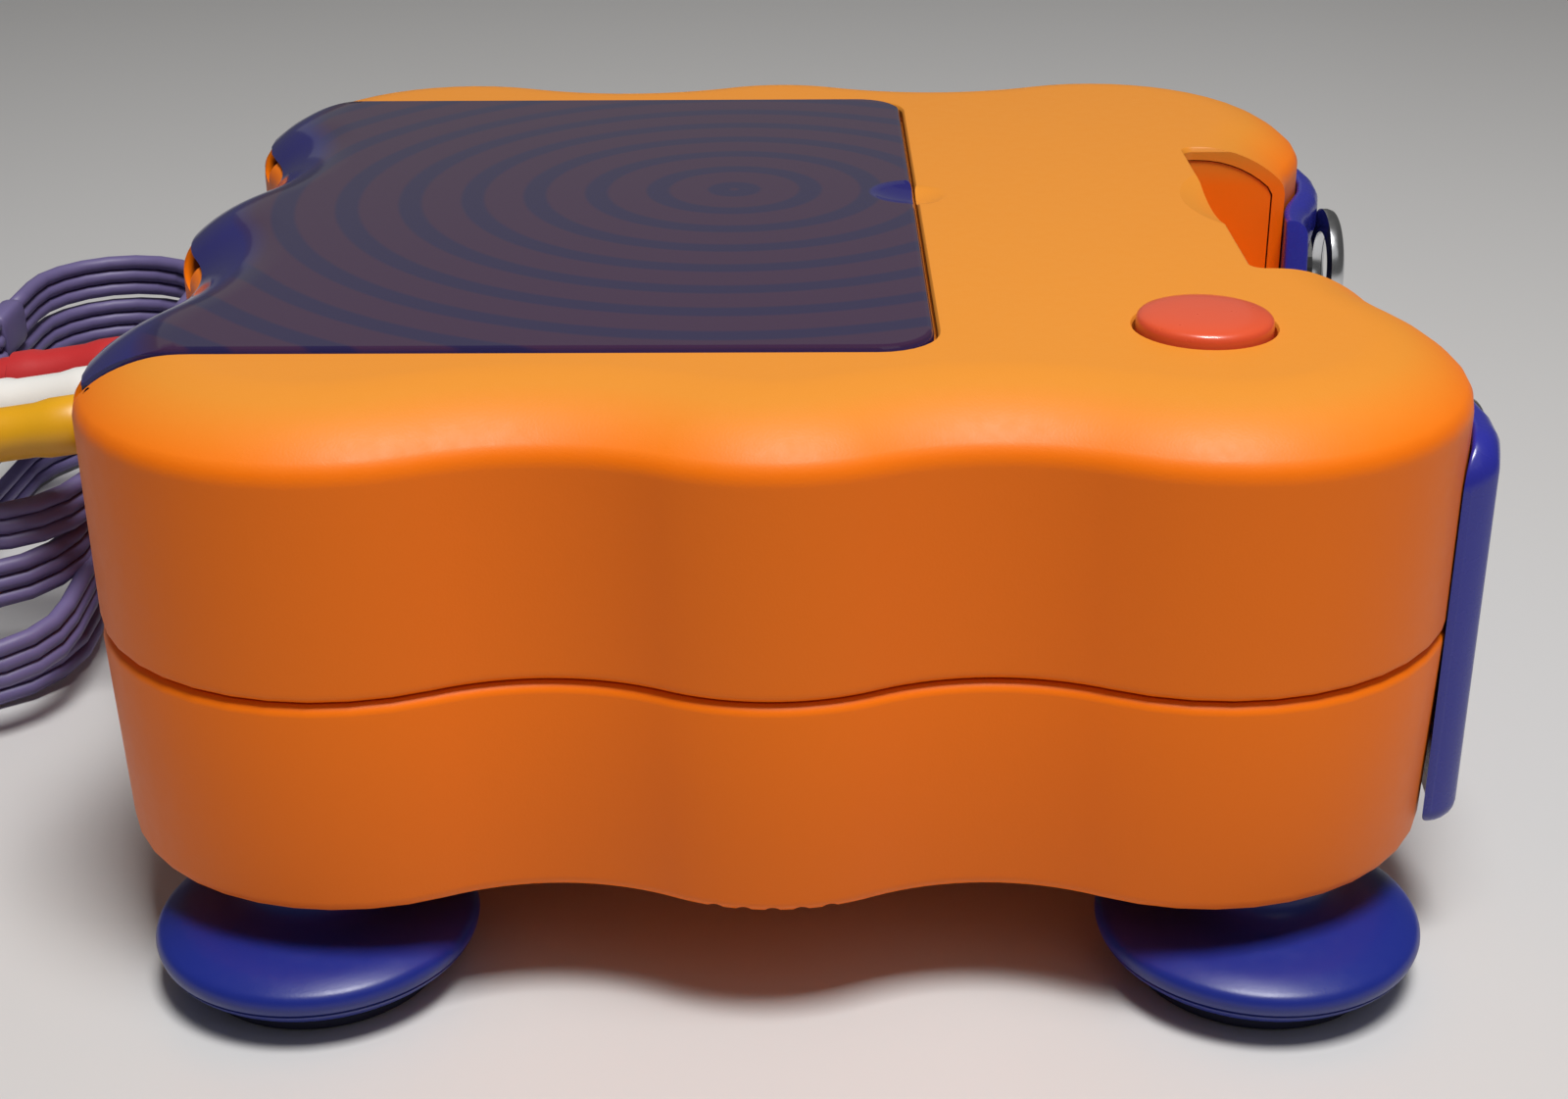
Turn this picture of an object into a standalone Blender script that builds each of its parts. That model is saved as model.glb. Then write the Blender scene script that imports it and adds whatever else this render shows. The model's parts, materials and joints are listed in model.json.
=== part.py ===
"""A children's television learning console: a wavy two-part shell with a storage lid, cartridge well, buttons,
sockets, feet, inside boards and a flat three-strand television lead. Metres, +Z up, front at -Y."""

import math

import bmesh
import bpy
from mathutils import Vector

# Shell outline in plan: four corner lobes, four side lobes and the valleys between them
WIDTH = 0.222
DEPTH = 0.220
CORNER_RADIUS = 0.0415
SIDE_LOBE_RADIUS = 0.0375
VALLEY_RADIUS = 0.0395
ARC_STEPS = 5

# Heights above the table
SHELL_BOTTOM = 0.021
PARTING = 0.0587
TOP = 0.1039
EDGE_DROP = 0.008
CREASE = TOP - EDGE_DROP
EDGE_INSET = 0.018
BOTTOM_DRAFT = 0.0025
BOTTOM_ROUND = 0.003
WALL = 0.0025
GAP = 0.0003

# Storage lid and the bay under it
LID_HALF_WIDTH = 0.0805
LID_SETBACK = 0.0845
LID_FRONT = -DEPTH / 2 + LID_SETBACK
LID_CORNER = 0.009
LID_DROP = 0.0054
LID_LIP = TOP - LID_DROP
LID_PROUD = 0.0006
LID_THICKNESS = 0.0024
LID_CLEARANCE = 0.0006
TRAY_FLOOR = 0.062
TRAY_WALL = 0.002
TRAY_MARGIN = 0.005
TRAY_REAR_MARGIN = 0.027
TRAY_REAR = DEPTH / 2 - TRAY_REAR_MARGIN
SILL_DROP = 0.0134
SILL_HEIGHT = TOP - SILL_DROP
SILL_MARGIN = 0.0135
SILL_REAR = DEPTH / 2 - SILL_MARGIN
HINGE_MARGIN = 0.0056
HINGE_Y = DEPTH / 2 - HINGE_MARGIN
HINGE_DROP = 0.0066
HINGE_Z = TOP - HINGE_DROP
HINGE_RELIEF = 0.0043
RELIEF_MIDDLE = 0.015
RELIEF_CORNER = 0.053
HINGE_PIN_RADIUS = 0.0012
HINGE_PIN_LENGTH = 0.0085
LUG_RADIUS = 0.0022
LUG_WIDTH = 0.004
SCOOP_RADIUS = 0.008
SCOOP_DEPTH = 0.0016

# Cartridge well in the front of the top
WELL_HALF_WIDTH = 0.0395
WELL_SETBACK = 0.0128
WELL_DEPTH = 0.0162
WELL_FRONT = -DEPTH / 2 + WELL_SETBACK
WELL_REAR = WELL_FRONT + WELL_DEPTH
WELL_FLOOR = 0.062
WELL_WALL = 0.002
NOTCH_BOTTOM = 0.074
CONNECTOR_HALF_WIDTH = 0.031
CONNECTOR_SETBACK = 0.011
CONNECTOR_Y = WELL_FRONT + CONNECTOR_SETBACK
CONNECTOR_THICKNESS = 0.0064

# Front plate, its sockets and its two buttons
PLATE_HALF_WIDTH = 0.080
PLATE_BOTTOM = 0.026
PLATE_TOP = 0.090
PLATE_THICKNESS = 0.0046
SOCKET_X = 0.056
SOCKET_Z = 0.074
SOCKET_RADIUS = 0.0085
SOCKET_BORE = 0.0058
SOCKET_LENGTH = 0.022
BEZEL_RADIUS = 0.012
BEZEL_DEPTH = 0.003
FRONT_BUTTON_X = 0.016
FRONT_BUTTON_Z = 0.047
FRONT_BUTTON_RADIUS = 0.007
FRONT_FLANGE = 0.0088
FLANGE_SETBACK = 0.0123
FRONT_FLANGE_Y = -DEPTH / 2 + FLANGE_SETBACK
BUTTON_CLEARANCE = 0.0005
BUTTON_TRAVEL = 0.002

# Restart button on the near side of the top
RESTART_MARGIN = (0.0415, 0.042)
RESTART_X = -WIDTH / 2 + RESTART_MARGIN[0]
RESTART_Y = -DEPTH / 2 + RESTART_MARGIN[1]
RESTART_RADIUS = 0.0108
RESTART_PROUD = 0.0026
RESTART_FLANGE = 0.0128
FLANGE_THICKNESS = 0.0016

# Feet
FOOT_SIDE_MARGIN = 0.020
FOOT_FRONT_MARGIN = 0.0303
FOOT_REAR_MARGIN = 0.0343
FOOT_X = WIDTH / 2 - FOOT_SIDE_MARGIN
FOOT_FRONT = -DEPTH / 2 + FOOT_FRONT_MARGIN
FOOT_REAR = DEPTH / 2 - FOOT_REAR_MARGIN
FOOT_RADIUS = 0.0265
FOOT_RIM = 0.0085
FOOT_UNDERCUT = 0.0017
FOOT_RIM_INSET = 0.0012
FOOT_RIM_RISE = 0.0022
FOOT_SHOULDER_SHARE = 0.5
FOOT_SHOULDER_RISE = 0.42
FOOT_NECK_SHARE = 0.36
FOOT_NECK_RISE = 0.55
PAD_RADIUS = 0.0205
PAD_HEIGHT = 0.0025
PAD_ROUND = 0.001

# Boards, batteries and fasteners
FLOOR_TOP = SHELL_BOTTOM + WALL
BOARD_HALF_WIDTH = 0.062
BATTERY_MARGIN = 0.032
BATTERY_LENGTH = 0.064
BATTERY_REAR = DEPTH / 2 - BATTERY_MARGIN
BATTERY_FRONT = BATTERY_REAR - BATTERY_LENGTH
BOARD_SETBACK = 0.0155
BOARD_SPACE = 0.010
BOARD_FRONT = -DEPTH / 2 + BOARD_SETBACK
BOARD_REAR = BATTERY_FRONT - BOARD_SPACE
BOARD_BOTTOM = 0.034
BOARD_THICKNESS = 0.0016
POST_RADIUS = 0.0036
POST_X = 0.056
POST_FRONT_MARGIN = 0.0185
POST_REAR_MARGIN = 0.008
POST_FRONT = BOARD_FRONT + POST_FRONT_MARGIN
POST_REAR = BOARD_REAR - POST_REAR_MARGIN
SCREW_RADIUS = 0.0013
SCREW_HEAD = 0.0028
SCREW_HEAD_HEIGHT = 0.0018
BATTERY_HALF_WIDTH = 0.042
BATTERY_HEIGHT = 0.030
BATTERY_WALL = 0.002
CONTACT_MARGIN = 0.008
CONTACT_THICKNESS = 0.0006
BOARD_SCREW_LENGTH = 0.006
DOOR_LEDGE = 0.003
SWITCH_SIZE = 0.006
SWITCH_HEIGHT = 0.0024
BOSS_DROP = FLANGE_THICKNESS + BUTTON_TRAVEL + SWITCH_HEIGHT + 2 * GAP

# Rear wall: power socket and the lead's gland
JACK_X = -0.037
JACK_Z = 0.040
JACK_RADIUS = 0.0052
JACK_BORE = 0.0028
GLAND_X = 0.037
GLAND_Z = 0.040
JACK_LENGTH = 0.012
JACK_BORE_DEPTH = 0.010
GLAND_RADIUS = 0.0066
GLAND_NECK = 0.0056
GLAND_FLANGE = 0.0076
GLAND_DEPTH = 0.0105
GLAND_REACH = 0.009
GLAND_TIP = DEPTH / 2 + GLAND_REACH

# Flat lead of three strands, its loops, and the three plugs
STRAND = 0.0034
RIBBON_HEIGHT = 0.0102
LOOP_OFFSET = 0.050
LOOP_CENTRE = (0.066, DEPTH / 2 + LOOP_OFFSET)
LOOP_HALF_RUN = 0.045
LOOP_RADIUS_OUT = 0.026
LOOP_RADIUS_IN = 0.020
LOOP_COUNT = 4
LOOP_END_SHARE = 0.25
LOOP_POINTS = 24
LAYER_PITCH = 0.0109
LOOP_Z = 0.0055
SLEEVE_LENGTH = 0.014
PLUG_Z = 0.0537
PLUG_RADIUS = 0.0058
PLUG_X = {"yellow": -0.001, "white": 0.016, "red": 0.033}
PLUG_SPACE = 0.0115
PLUG_TIP_Y = DEPTH / 2 + PLUG_SPACE
PLUG_BODY = 0.024
PLUG_PIN = 0.013
PLUG_PIN_RADIUS = 0.0016
PLUG_COLLAR_START = 0.004
PLUG_COLLAR_RADIUS = 0.0042
BOOT_STEPS = 5
BOOT_LENGTH = 0.026
TAIL_REACH = 0.004
TAIL_STEP = 0.009

COLOURS = {
    "orange": ((0.86, 0.24, 0.03, 1), 0.42, 0.0),
    "violet": ((0.05, 0.03, 0.26, 1), 0.15, 0.0),
    "blue": ((0.06, 0.07, 0.42, 1), 0.3, 0.0),
    "red": ((0.75, 0.07, 0.03, 1), 0.3, 0.0),
    "silver": ((0.7, 0.7, 0.72, 1), 0.2, 1.0),
    "steel": ((0.5, 0.5, 0.5, 1), 0.3, 1.0),
    "black": ((0.02, 0.02, 0.02, 1), 0.5, 0.0),
    "board": ((0.02, 0.16, 0.05, 1), 0.5, 0.0),
    "rubber": ((0.03, 0.03, 0.05, 1), 0.8, 0.0),
    "lead": ((0.24, 0.19, 0.42, 1), 0.5, 0.0),
    "yellow": ((0.85, 0.5, 0.02, 1), 0.4, 0.0),
    "white": ((0.8, 0.8, 0.78, 1), 0.4, 0.0),
}


def remove_everything():
    for item in list(bpy.data.objects):
        bpy.data.objects.remove(item, do_unlink=True)


def material(name):
    found = bpy.data.materials.get(name)
    if found:
        return found
    colour, roughness, metallic = COLOURS[name]
    made = bpy.data.materials.new(name)
    made.use_nodes = True
    shader = made.node_tree.nodes["Principled BSDF"]
    shader.inputs["Base Color"].default_value = colour
    shader.inputs["Roughness"].default_value = roughness
    shader.inputs["Metallic"].default_value = metallic
    return made


def add_object(name, mesh_maker, finish):
    mesh = bpy.data.meshes.new(name)
    work = bmesh.new()
    mesh_maker(work)
    bmesh.ops.remove_doubles(work, verts=work.verts, dist=1e-6)
    bmesh.ops.recalc_face_normals(work, faces=work.faces)
    work.to_mesh(mesh)
    work.free()
    made = bpy.data.objects.new(name, mesh)
    bpy.context.scene.collection.objects.link(made)
    made.data.materials.append(material(finish))
    return made


def loft(work, rings):
    """Closes a stack of equal rings into one solid, with a flat cap at each end."""
    loops = [[work.verts.new(point) for point in ring] for ring in rings]
    count = len(loops[0])
    for low, high in zip(loops, loops[1:]):
        for i in range(count):
            j = (i + 1) % count
            work.faces.new((low[i], low[j], high[j], high[i]))
    work.faces.new(loops[0][::-1])
    work.faces.new(loops[-1])


def box(work, low, high):
    ring = [(low[0], low[1]), (high[0], low[1]), (high[0], high[1]), (low[0], high[1])]
    loft(work, [[(x, y, z) for x, y in ring] for z in (low[2], high[2])])


def turned(work, profile, centre, axis="Z", steps=24):
    """Turns (radius, distance along the axis) points about an axis through the centre."""
    rings = []
    for radius, along in profile:
        ring = []
        for i in range(steps):
            angle = 2 * math.pi * i / steps
            u, v = radius * math.cos(angle), radius * math.sin(angle)
            local = {"Z": (u, v, along), "Y": (u, along, v), "X": (along, u, v)}[axis]
            ring.append(tuple(Vector(centre) + Vector(local)))
        rings.append(ring)
    loft(work, rings)


def cutter(name, mesh_maker):
    made = add_object(name, mesh_maker, "steel")
    made.hide_render = True
    made.display_type = "WIRE"
    return made


def boolean(target, tool, operation):
    change = target.modifiers.new(tool.name, "BOOLEAN")
    change.operation = operation
    change.object = tool
    change.solver = "EXACT"


def side_arcs(half, offset, centre_across, centre_along):
    """Angles of one half side, from its middle lobe over a valley to the corner lobe."""
    lobe = Vector((half - SIDE_LOBE_RADIUS, 0.0))
    corner = Vector((centre_across, centre_along))
    reach = (corner - lobe).length
    near = SIDE_LOBE_RADIUS + VALLEY_RADIUS
    far = CORNER_RADIUS + VALLEY_RADIUS
    along = (near**2 - far**2 + reach**2) / (2 * reach)
    unit = (corner - lobe) / reach
    normal = Vector((abs(unit.y), -unit.x if unit.y > 0 else unit.x))
    valley = lobe + along * unit + math.sqrt(near**2 - along**2) * normal
    points = []
    start = math.atan2(valley.y - lobe.y, valley.x - lobe.x)
    for i in range(ARC_STEPS):
        angle = start * i / ARC_STEPS
        points.append(lobe + (SIDE_LOBE_RADIUS - offset) * Vector((math.cos(angle), math.sin(angle))))
    first = math.atan2(lobe.y - valley.y, lobe.x - valley.x) % (2 * math.pi)
    last = math.atan2(corner.y - valley.y, corner.x - valley.x) % (2 * math.pi)
    for i in range(ARC_STEPS):
        angle = first + (last - first) * i / ARC_STEPS
        points.append(valley + (VALLEY_RADIUS + offset) * Vector((math.cos(angle), math.sin(angle))))
    return points, math.atan2(valley.y - corner.y, valley.x - corner.x)


def outline(offset):
    """The shell's plan outline, drawn in by an offset, as a closed ring of points."""
    across = WIDTH / 2 - CORNER_RADIUS
    along = DEPTH / 2 - CORNER_RADIUS
    side, from_side = side_arcs(WIDTH / 2, offset, across, along)
    front, from_front = side_arcs(DEPTH / 2, offset, along, across)
    quarter = list(side)
    last = math.pi / 2 - from_front
    for i in range(ARC_STEPS + 1):
        angle = from_side + (last - from_side) * i / ARC_STEPS
        reach = (CORNER_RADIUS - offset) * Vector((math.cos(angle), math.sin(angle)))
        quarter.append(Vector((across, along)) + reach)
    quarter += [Vector((point.y, point.x)) for point in front[:0:-1]]
    middle = Vector((0.0, DEPTH / 2 - offset))
    half = quarter + [middle] + [Vector((-p.x, p.y)) for p in quarter[::-1]]
    return half[:-1] + [Vector((-p.x, -p.y)) for p in half[:-1]]


def dome_rings(offset, bottom, steps=4):
    """The upper form: upright wavy walls, then an arc over the edge to the flat top."""
    height = TOP - CREASE
    radius = (EDGE_INSET**2 + height**2) / (2 * height)
    widest = math.asin(EDGE_INSET / radius)
    rings = [[(p.x, p.y, bottom) for p in outline(offset)]]
    for i in range(steps + 1):
        angle = widest * (1 - i / steps)
        inset = EDGE_INSET - (radius - offset) * math.sin(angle)
        level = TOP - radius + (radius - offset) * math.cos(angle)
        ring = outline(max(inset, offset))
        rings.append([(p.x, p.y, level) for p in ring])
    return rings


def rounded_region(work, half, front, rear, corner, low, high):
    """A prism with two round front corners and a straight rear."""
    ring = [(half, rear), (-half, rear)]
    for centre, start in ((-half + corner, math.pi), (half - corner, 1.5 * math.pi)):
        for i in range(ARC_STEPS + 1):
            angle = start + 0.5 * math.pi * i / ARC_STEPS
            ring.append((centre + corner * math.cos(angle), front + corner + corner * math.sin(angle)))
    loft(work, [[(x, y, z) for x, y in ring] for z in (low, high)])


def front_surface(x, offset=0.0):
    """Y of the shell's front wall at x, from the outline's own points."""
    ring = [p for p in outline(offset) if p.y < -DEPTH / 4]
    ring.sort(key=lambda p: p.x)
    for left, right in zip(ring, ring[1:]):
        if left.x <= x <= right.x:
            share = (x - left.x) / max(right.x - left.x, 1e-9)
            return left.y + share * (right.y - left.y)
    return ring[-1].y


def screw(name, x, y, seat, length):
    """A pan-head screw whose head sits on a face at height seat."""
    profile = [
        (SCREW_RADIUS, seat - length),
        (SCREW_RADIUS, seat + GAP),
        (SCREW_HEAD, seat + GAP),
        (SCREW_HEAD, seat + SCREW_HEAD_HEIGHT * 0.6),
        (SCREW_HEAD * 0.6, seat + SCREW_HEAD_HEIGHT),
    ]
    return add_object(name, lambda work: turned(work, profile, (x, y, 0), steps=12), "steel")


def make_upper_shell():
    inner_bottom = PARTING - WALL
    shell = add_object("upper_shell", lambda work: loft(work, dome_rings(0.0, PARTING)), "orange")
    hollow = cutter("upper_hollow", lambda work: loft(work, dome_rings(WALL, inner_bottom)))
    boolean(shell, hollow, "DIFFERENCE")
    boolean(shell, cutter("lid_opening", lambda work: rounded_region(
        work, LID_HALF_WIDTH + LID_CLEARANCE, LID_FRONT - LID_CLEARANCE, DEPTH,
        LID_CORNER + LID_CLEARANCE, LID_LIP - GAP, TOP + WALL)), "DIFFERENCE")
    boolean(shell, cutter("cartridge_notch", lambda work: box(
        work, (-WELL_HALF_WIDTH, -DEPTH, NOTCH_BOTTOM), (WELL_HALF_WIDTH, WELL_REAR, TOP + WALL))), "DIFFERENCE")
    bore = RESTART_RADIUS + BUTTON_CLEARANCE
    boolean(shell, cutter("restart_bore", lambda work: turned(
        work, [(bore, TOP - 2 * WALL), (bore, TOP + WALL)], (RESTART_X, RESTART_Y, 0))), "DIFFERENCE")
    for side, sign in (("left", -1), ("right", 1)):
        reach = SOCKET_RADIUS + GAP
        boolean(shell, cutter(f"socket_hole_{side}", lambda work: turned(
            work, [(reach, -DEPTH), (reach, -DEPTH / 3)], (sign * SOCKET_X, 0, SOCKET_Z), "Y")), "DIFFERENCE")
        pin = HINGE_PIN_RADIUS + GAP
        start = sign * (LID_HALF_WIDTH - LUG_WIDTH)
        boolean(shell, cutter(f"pin_hole_{side}", lambda work: turned(
            work, [(pin, min(start, start + sign * 2 * HINGE_PIN_LENGTH)),
                   (pin, max(start, start + sign * 2 * HINGE_PIN_LENGTH))],
            (0, HINGE_Y, HINGE_Z), "X", 24)), "DIFFERENCE")
        corner = sorted((sign * RELIEF_CORNER, sign * (LID_HALF_WIDTH + LID_CLEARANCE)))
        boolean(shell, hinge_relief(f"relief_{side}", *corner), "DIFFERENCE")
        boss_x = RESTART_X + sign * (RESTART_FLANGE + SCREW_HEAD + BUTTON_CLEARANCE)
        boss_low = TOP - WALL - BOSS_DROP
        boolean(shell, cutter(f"switch_boss_{side}", lambda work: turned(
            work, [(SCREW_HEAD, boss_low), (SCREW_HEAD, TOP - WALL / 2)], (boss_x, RESTART_Y, 0), steps=16)), "UNION")
    boolean(shell, hinge_relief("relief_middle", -RELIEF_MIDDLE, RELIEF_MIDDLE), "DIFFERENCE")
    return shell


def hinge_relief(name, low, high):
    """Room behind the hinge for the lid's rear lip to roll into."""
    return cutter(name, lambda work: turned(
        work, [(HINGE_RELIEF, low), (HINGE_RELIEF, high)], (0, HINGE_Y, HINGE_Z), "X", 24))


def make_lower_shell():
    def rings(offset, low, draft):
        levels = [(PARTING - GAP, offset), (low + BOTTOM_ROUND, offset + draft)]
        for i in range(1, 3):
            angle = 0.5 * math.pi * i / 2
            inset = draft + BOTTOM_ROUND * (1 - math.cos(angle))
            levels.append((low + BOTTOM_ROUND * (1 - math.sin(angle)), offset + inset))
        return [[(p.x, p.y, z) for p in outline(inset)] for z, inset in levels[::-1]]

    shell = add_object("lower_shell", lambda work: loft(work, rings(0.0, SHELL_BOTTOM, BOTTOM_DRAFT)), "orange")

    def hollow(work):
        stack = rings(WALL, FLOOR_TOP, BOTTOM_DRAFT)
        stack.append([(x, y, PARTING + WALL) for x, y, _ in stack[-1]])
        loft(work, stack)

    boolean(shell, cutter("lower_hollow", hollow), "DIFFERENCE")
    door = (BATTERY_HALF_WIDTH, BATTERY_FRONT, BATTERY_REAR)
    boolean(shell, cutter("battery_opening", lambda work: box(
        work, (-door[0], door[1], 0), (door[0], door[2], FLOOR_TOP + WALL))), "DIFFERENCE")
    reach = FRONT_BUTTON_RADIUS + BUTTON_CLEARANCE
    for side, sign in (("on", -1), ("off", 1)):
        boolean(shell, cutter(f"{side}_bore", lambda work: turned(
            work, [(reach, -DEPTH), (reach, -DEPTH / 3)],
            (sign * FRONT_BUTTON_X, 0, FRONT_BUTTON_Z), "Y")), "DIFFERENCE")
    for x, y in board_posts():
        post = turned_tool(f"post_{x:.3f}_{y:.3f}", POST_RADIUS, FLOOR_TOP - WALL / 2, BOARD_BOTTOM - GAP, x, y)
        boolean(shell, post, "UNION")
        bore = turned_tool(f"bore_{x:.3f}_{y:.3f}", SCREW_RADIUS + GAP, FLOOR_TOP + WALL, BOARD_BOTTOM + WALL, x, y)
        boolean(shell, bore, "DIFFERENCE")
    for name, x, z, radius in (("jack", JACK_X, JACK_Z, JACK_RADIUS), ("gland", GLAND_X, GLAND_Z, GLAND_NECK)):
        boolean(shell, cutter(f"{name}_hole", lambda work: turned(
            work, [(radius + GAP, DEPTH / 3), (radius + GAP, DEPTH)], (x, 0, z), "Y", 24)), "DIFFERENCE")
    return shell


def turned_tool(name, radius, low, high, x, y):
    return cutter(name, lambda work: turned(work, [(radius, low), (radius, high)], (x, y, 0), steps=16))


def board_posts():
    return [(x, y) for x in (-POST_X, POST_X) for y in (POST_FRONT, POST_REAR)]


def make_storage():
    """Storage tray with a flange under the shell, and the see-through lid on two hinge pins."""
    half = LID_HALF_WIDTH - TRAY_MARGIN
    front = LID_FRONT + TRAY_MARGIN
    flange_top = TOP - WALL - GAP
    lid_under = TOP + LID_PROUD - LID_THICKNESS - GAP

    def body(work):
        box(work, (-half, front, TRAY_FLOOR), (half, TRAY_REAR, lid_under))

    tray = add_object("storage_tray", body, "orange")
    boolean(tray, cutter("tray_flange", lambda work: box(
        work, (-half - 2 * TRAY_MARGIN, front - 2 * TRAY_MARGIN, flange_top - TRAY_WALL),
        (half + 2 * TRAY_MARGIN, TRAY_REAR - 2 * TRAY_MARGIN, flange_top))), "UNION")
    boolean(tray, cutter("tray_sill", lambda work: box(
        work, (-half, TRAY_REAR - TRAY_WALL, SILL_HEIGHT - TRAY_WALL), (half, SILL_REAR, SILL_HEIGHT))), "UNION")
    boolean(tray, cutter("tray_hollow", lambda work: box(
        work, (-half + TRAY_WALL, front + TRAY_WALL, TRAY_FLOOR + TRAY_WALL),
        (half - TRAY_WALL, TRAY_REAR - TRAY_WALL, TOP))), "DIFFERENCE")

    lid = add_object("storage_lid", lambda work: loft(work, dome_rings(-LID_PROUD, LID_LIP - WALL)), "violet")
    boolean(lid, cutter("lid_hollow", lambda work: loft(
        work, dome_rings(LID_THICKNESS - LID_PROUD, LID_LIP - 2 * WALL))), "DIFFERENCE")
    boolean(lid, cutter("lid_region", lambda work: rounded_region(
        work, LID_HALF_WIDTH, LID_FRONT, DEPTH, LID_CORNER, LID_LIP, TOP + WALL)), "INTERSECT")
    scoop_z = TOP + LID_PROUD + SCOOP_RADIUS - SCOOP_DEPTH
    boolean(lid, cutter("lid_scoop", lambda work: scoop(work, (0, LID_FRONT, scoop_z))), "DIFFERENCE")
    for side, sign in (("left", -1), ("right", 1)):
        edge = LID_HALF_WIDTH - BUTTON_CLEARANCE
        span = sorted((sign * (edge - LUG_WIDTH), sign * edge))
        boolean(lid, cutter(f"lug_{side}", lambda work: hinge_lug(work, span)), "UNION")
        boolean(lid, cutter(f"lug_bore_{side}", lambda work: turned(
            work, [(HINGE_PIN_RADIUS + GAP, span[0] - WALL), (HINGE_PIN_RADIUS + GAP, span[1] + WALL)],
            (0, HINGE_Y, HINGE_Z), "X", 24)), "DIFFERENCE")
        pin_ends = sorted((sign * (edge - LUG_WIDTH), sign * (edge - LUG_WIDTH + HINGE_PIN_LENGTH)))
        add_object(f"hinge_pin_{side}", lambda work: turned(
            work, [(HINGE_PIN_RADIUS, pin_ends[0]), (HINGE_PIN_RADIUS, pin_ends[1])],
            (0, HINGE_Y, HINGE_Z), "X", 24), "steel")
    seat_on_axis(lid, "lid_hinge", (0, HINGE_Y, HINGE_Z))


def seat_on_axis(piece, name, place):
    """Keeps a piece's mesh where it is while its parent empty stands on the joint's axis."""
    seat = bpy.data.objects.new(name, None)
    seat.location = place
    bpy.context.scene.collection.objects.link(seat)
    piece.parent = seat
    piece.location = -Vector(place)


def hinge_lug(work, span):
    """A lug from the lid's underside down to the hinge pin."""
    ring = []
    for i in range(9):
        angle = math.pi + math.pi * i / 8
        ring.append((HINGE_Y + LUG_RADIUS * math.cos(angle), HINGE_Z + LUG_RADIUS * math.sin(angle)))
    ring += [(HINGE_Y + LUG_RADIUS, LID_LIP + GAP), (HINGE_Y - LUG_RADIUS, LID_LIP + 2 * GAP)]
    loft(work, [[(x, y, z) for y, z in ring] for x in span])


def scoop(work, centre):
    bmesh.ops.create_uvsphere(work, u_segments=20, v_segments=12, radius=SCOOP_RADIUS)
    bmesh.ops.translate(work, verts=work.verts, vec=centre)


def make_cartridge_well():
    outer = WELL_HALF_WIDTH + GAP + WELL_WALL
    rear = WELL_REAR + GAP + WELL_WALL
    top = TOP - WALL - GAP
    side = [(rear, WELL_FLOOR - WELL_WALL), (WELL_FRONT, WELL_FLOOR - WELL_WALL), (WELL_FRONT, CREASE - WALL),
            (WELL_REAR - EDGE_INSET / 3, top - WALL), (WELL_REAR, top), (rear, top)]
    well = add_object("cartridge_well", lambda work: loft(
        work, [[(x, y, z) for y, z in side] for x in (-outer, outer)]), "orange")
    boolean(well, cutter("well_hollow", lambda work: box(
        work, (-WELL_HALF_WIDTH - GAP, -DEPTH, WELL_FLOOR), (WELL_HALF_WIDTH + GAP, WELL_REAR + GAP, TOP))), "DIFFERENCE")
    slot = CONNECTOR_THICKNESS / 2 - BUTTON_CLEARANCE
    boolean(well, cutter("well_slot", lambda work: box(
        work, (-CONNECTOR_HALF_WIDTH, CONNECTOR_Y - slot, 0), (CONNECTOR_HALF_WIDTH, CONNECTOR_Y + slot, TOP))), "DIFFERENCE")
    low = BOARD_BOTTOM + BOARD_THICKNESS + GAP
    block = add_object("cartridge_connector", lambda work: box(
        work, (-CONNECTOR_HALF_WIDTH, CONNECTOR_Y - CONNECTOR_THICKNESS / 2, low),
        (CONNECTOR_HALF_WIDTH, CONNECTOR_Y + CONNECTOR_THICKNESS / 2, WELL_FLOOR - WELL_WALL - GAP)), "black")
    boolean(block, cutter("contact_slot", lambda work: box(
        work, (-CONNECTOR_HALF_WIDTH + WALL, CONNECTOR_Y - 0.001, low + 2 * WALL),
        (CONNECTOR_HALF_WIDTH - WALL, CONNECTOR_Y + 0.001, TOP))), "DIFFERENCE")


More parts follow.
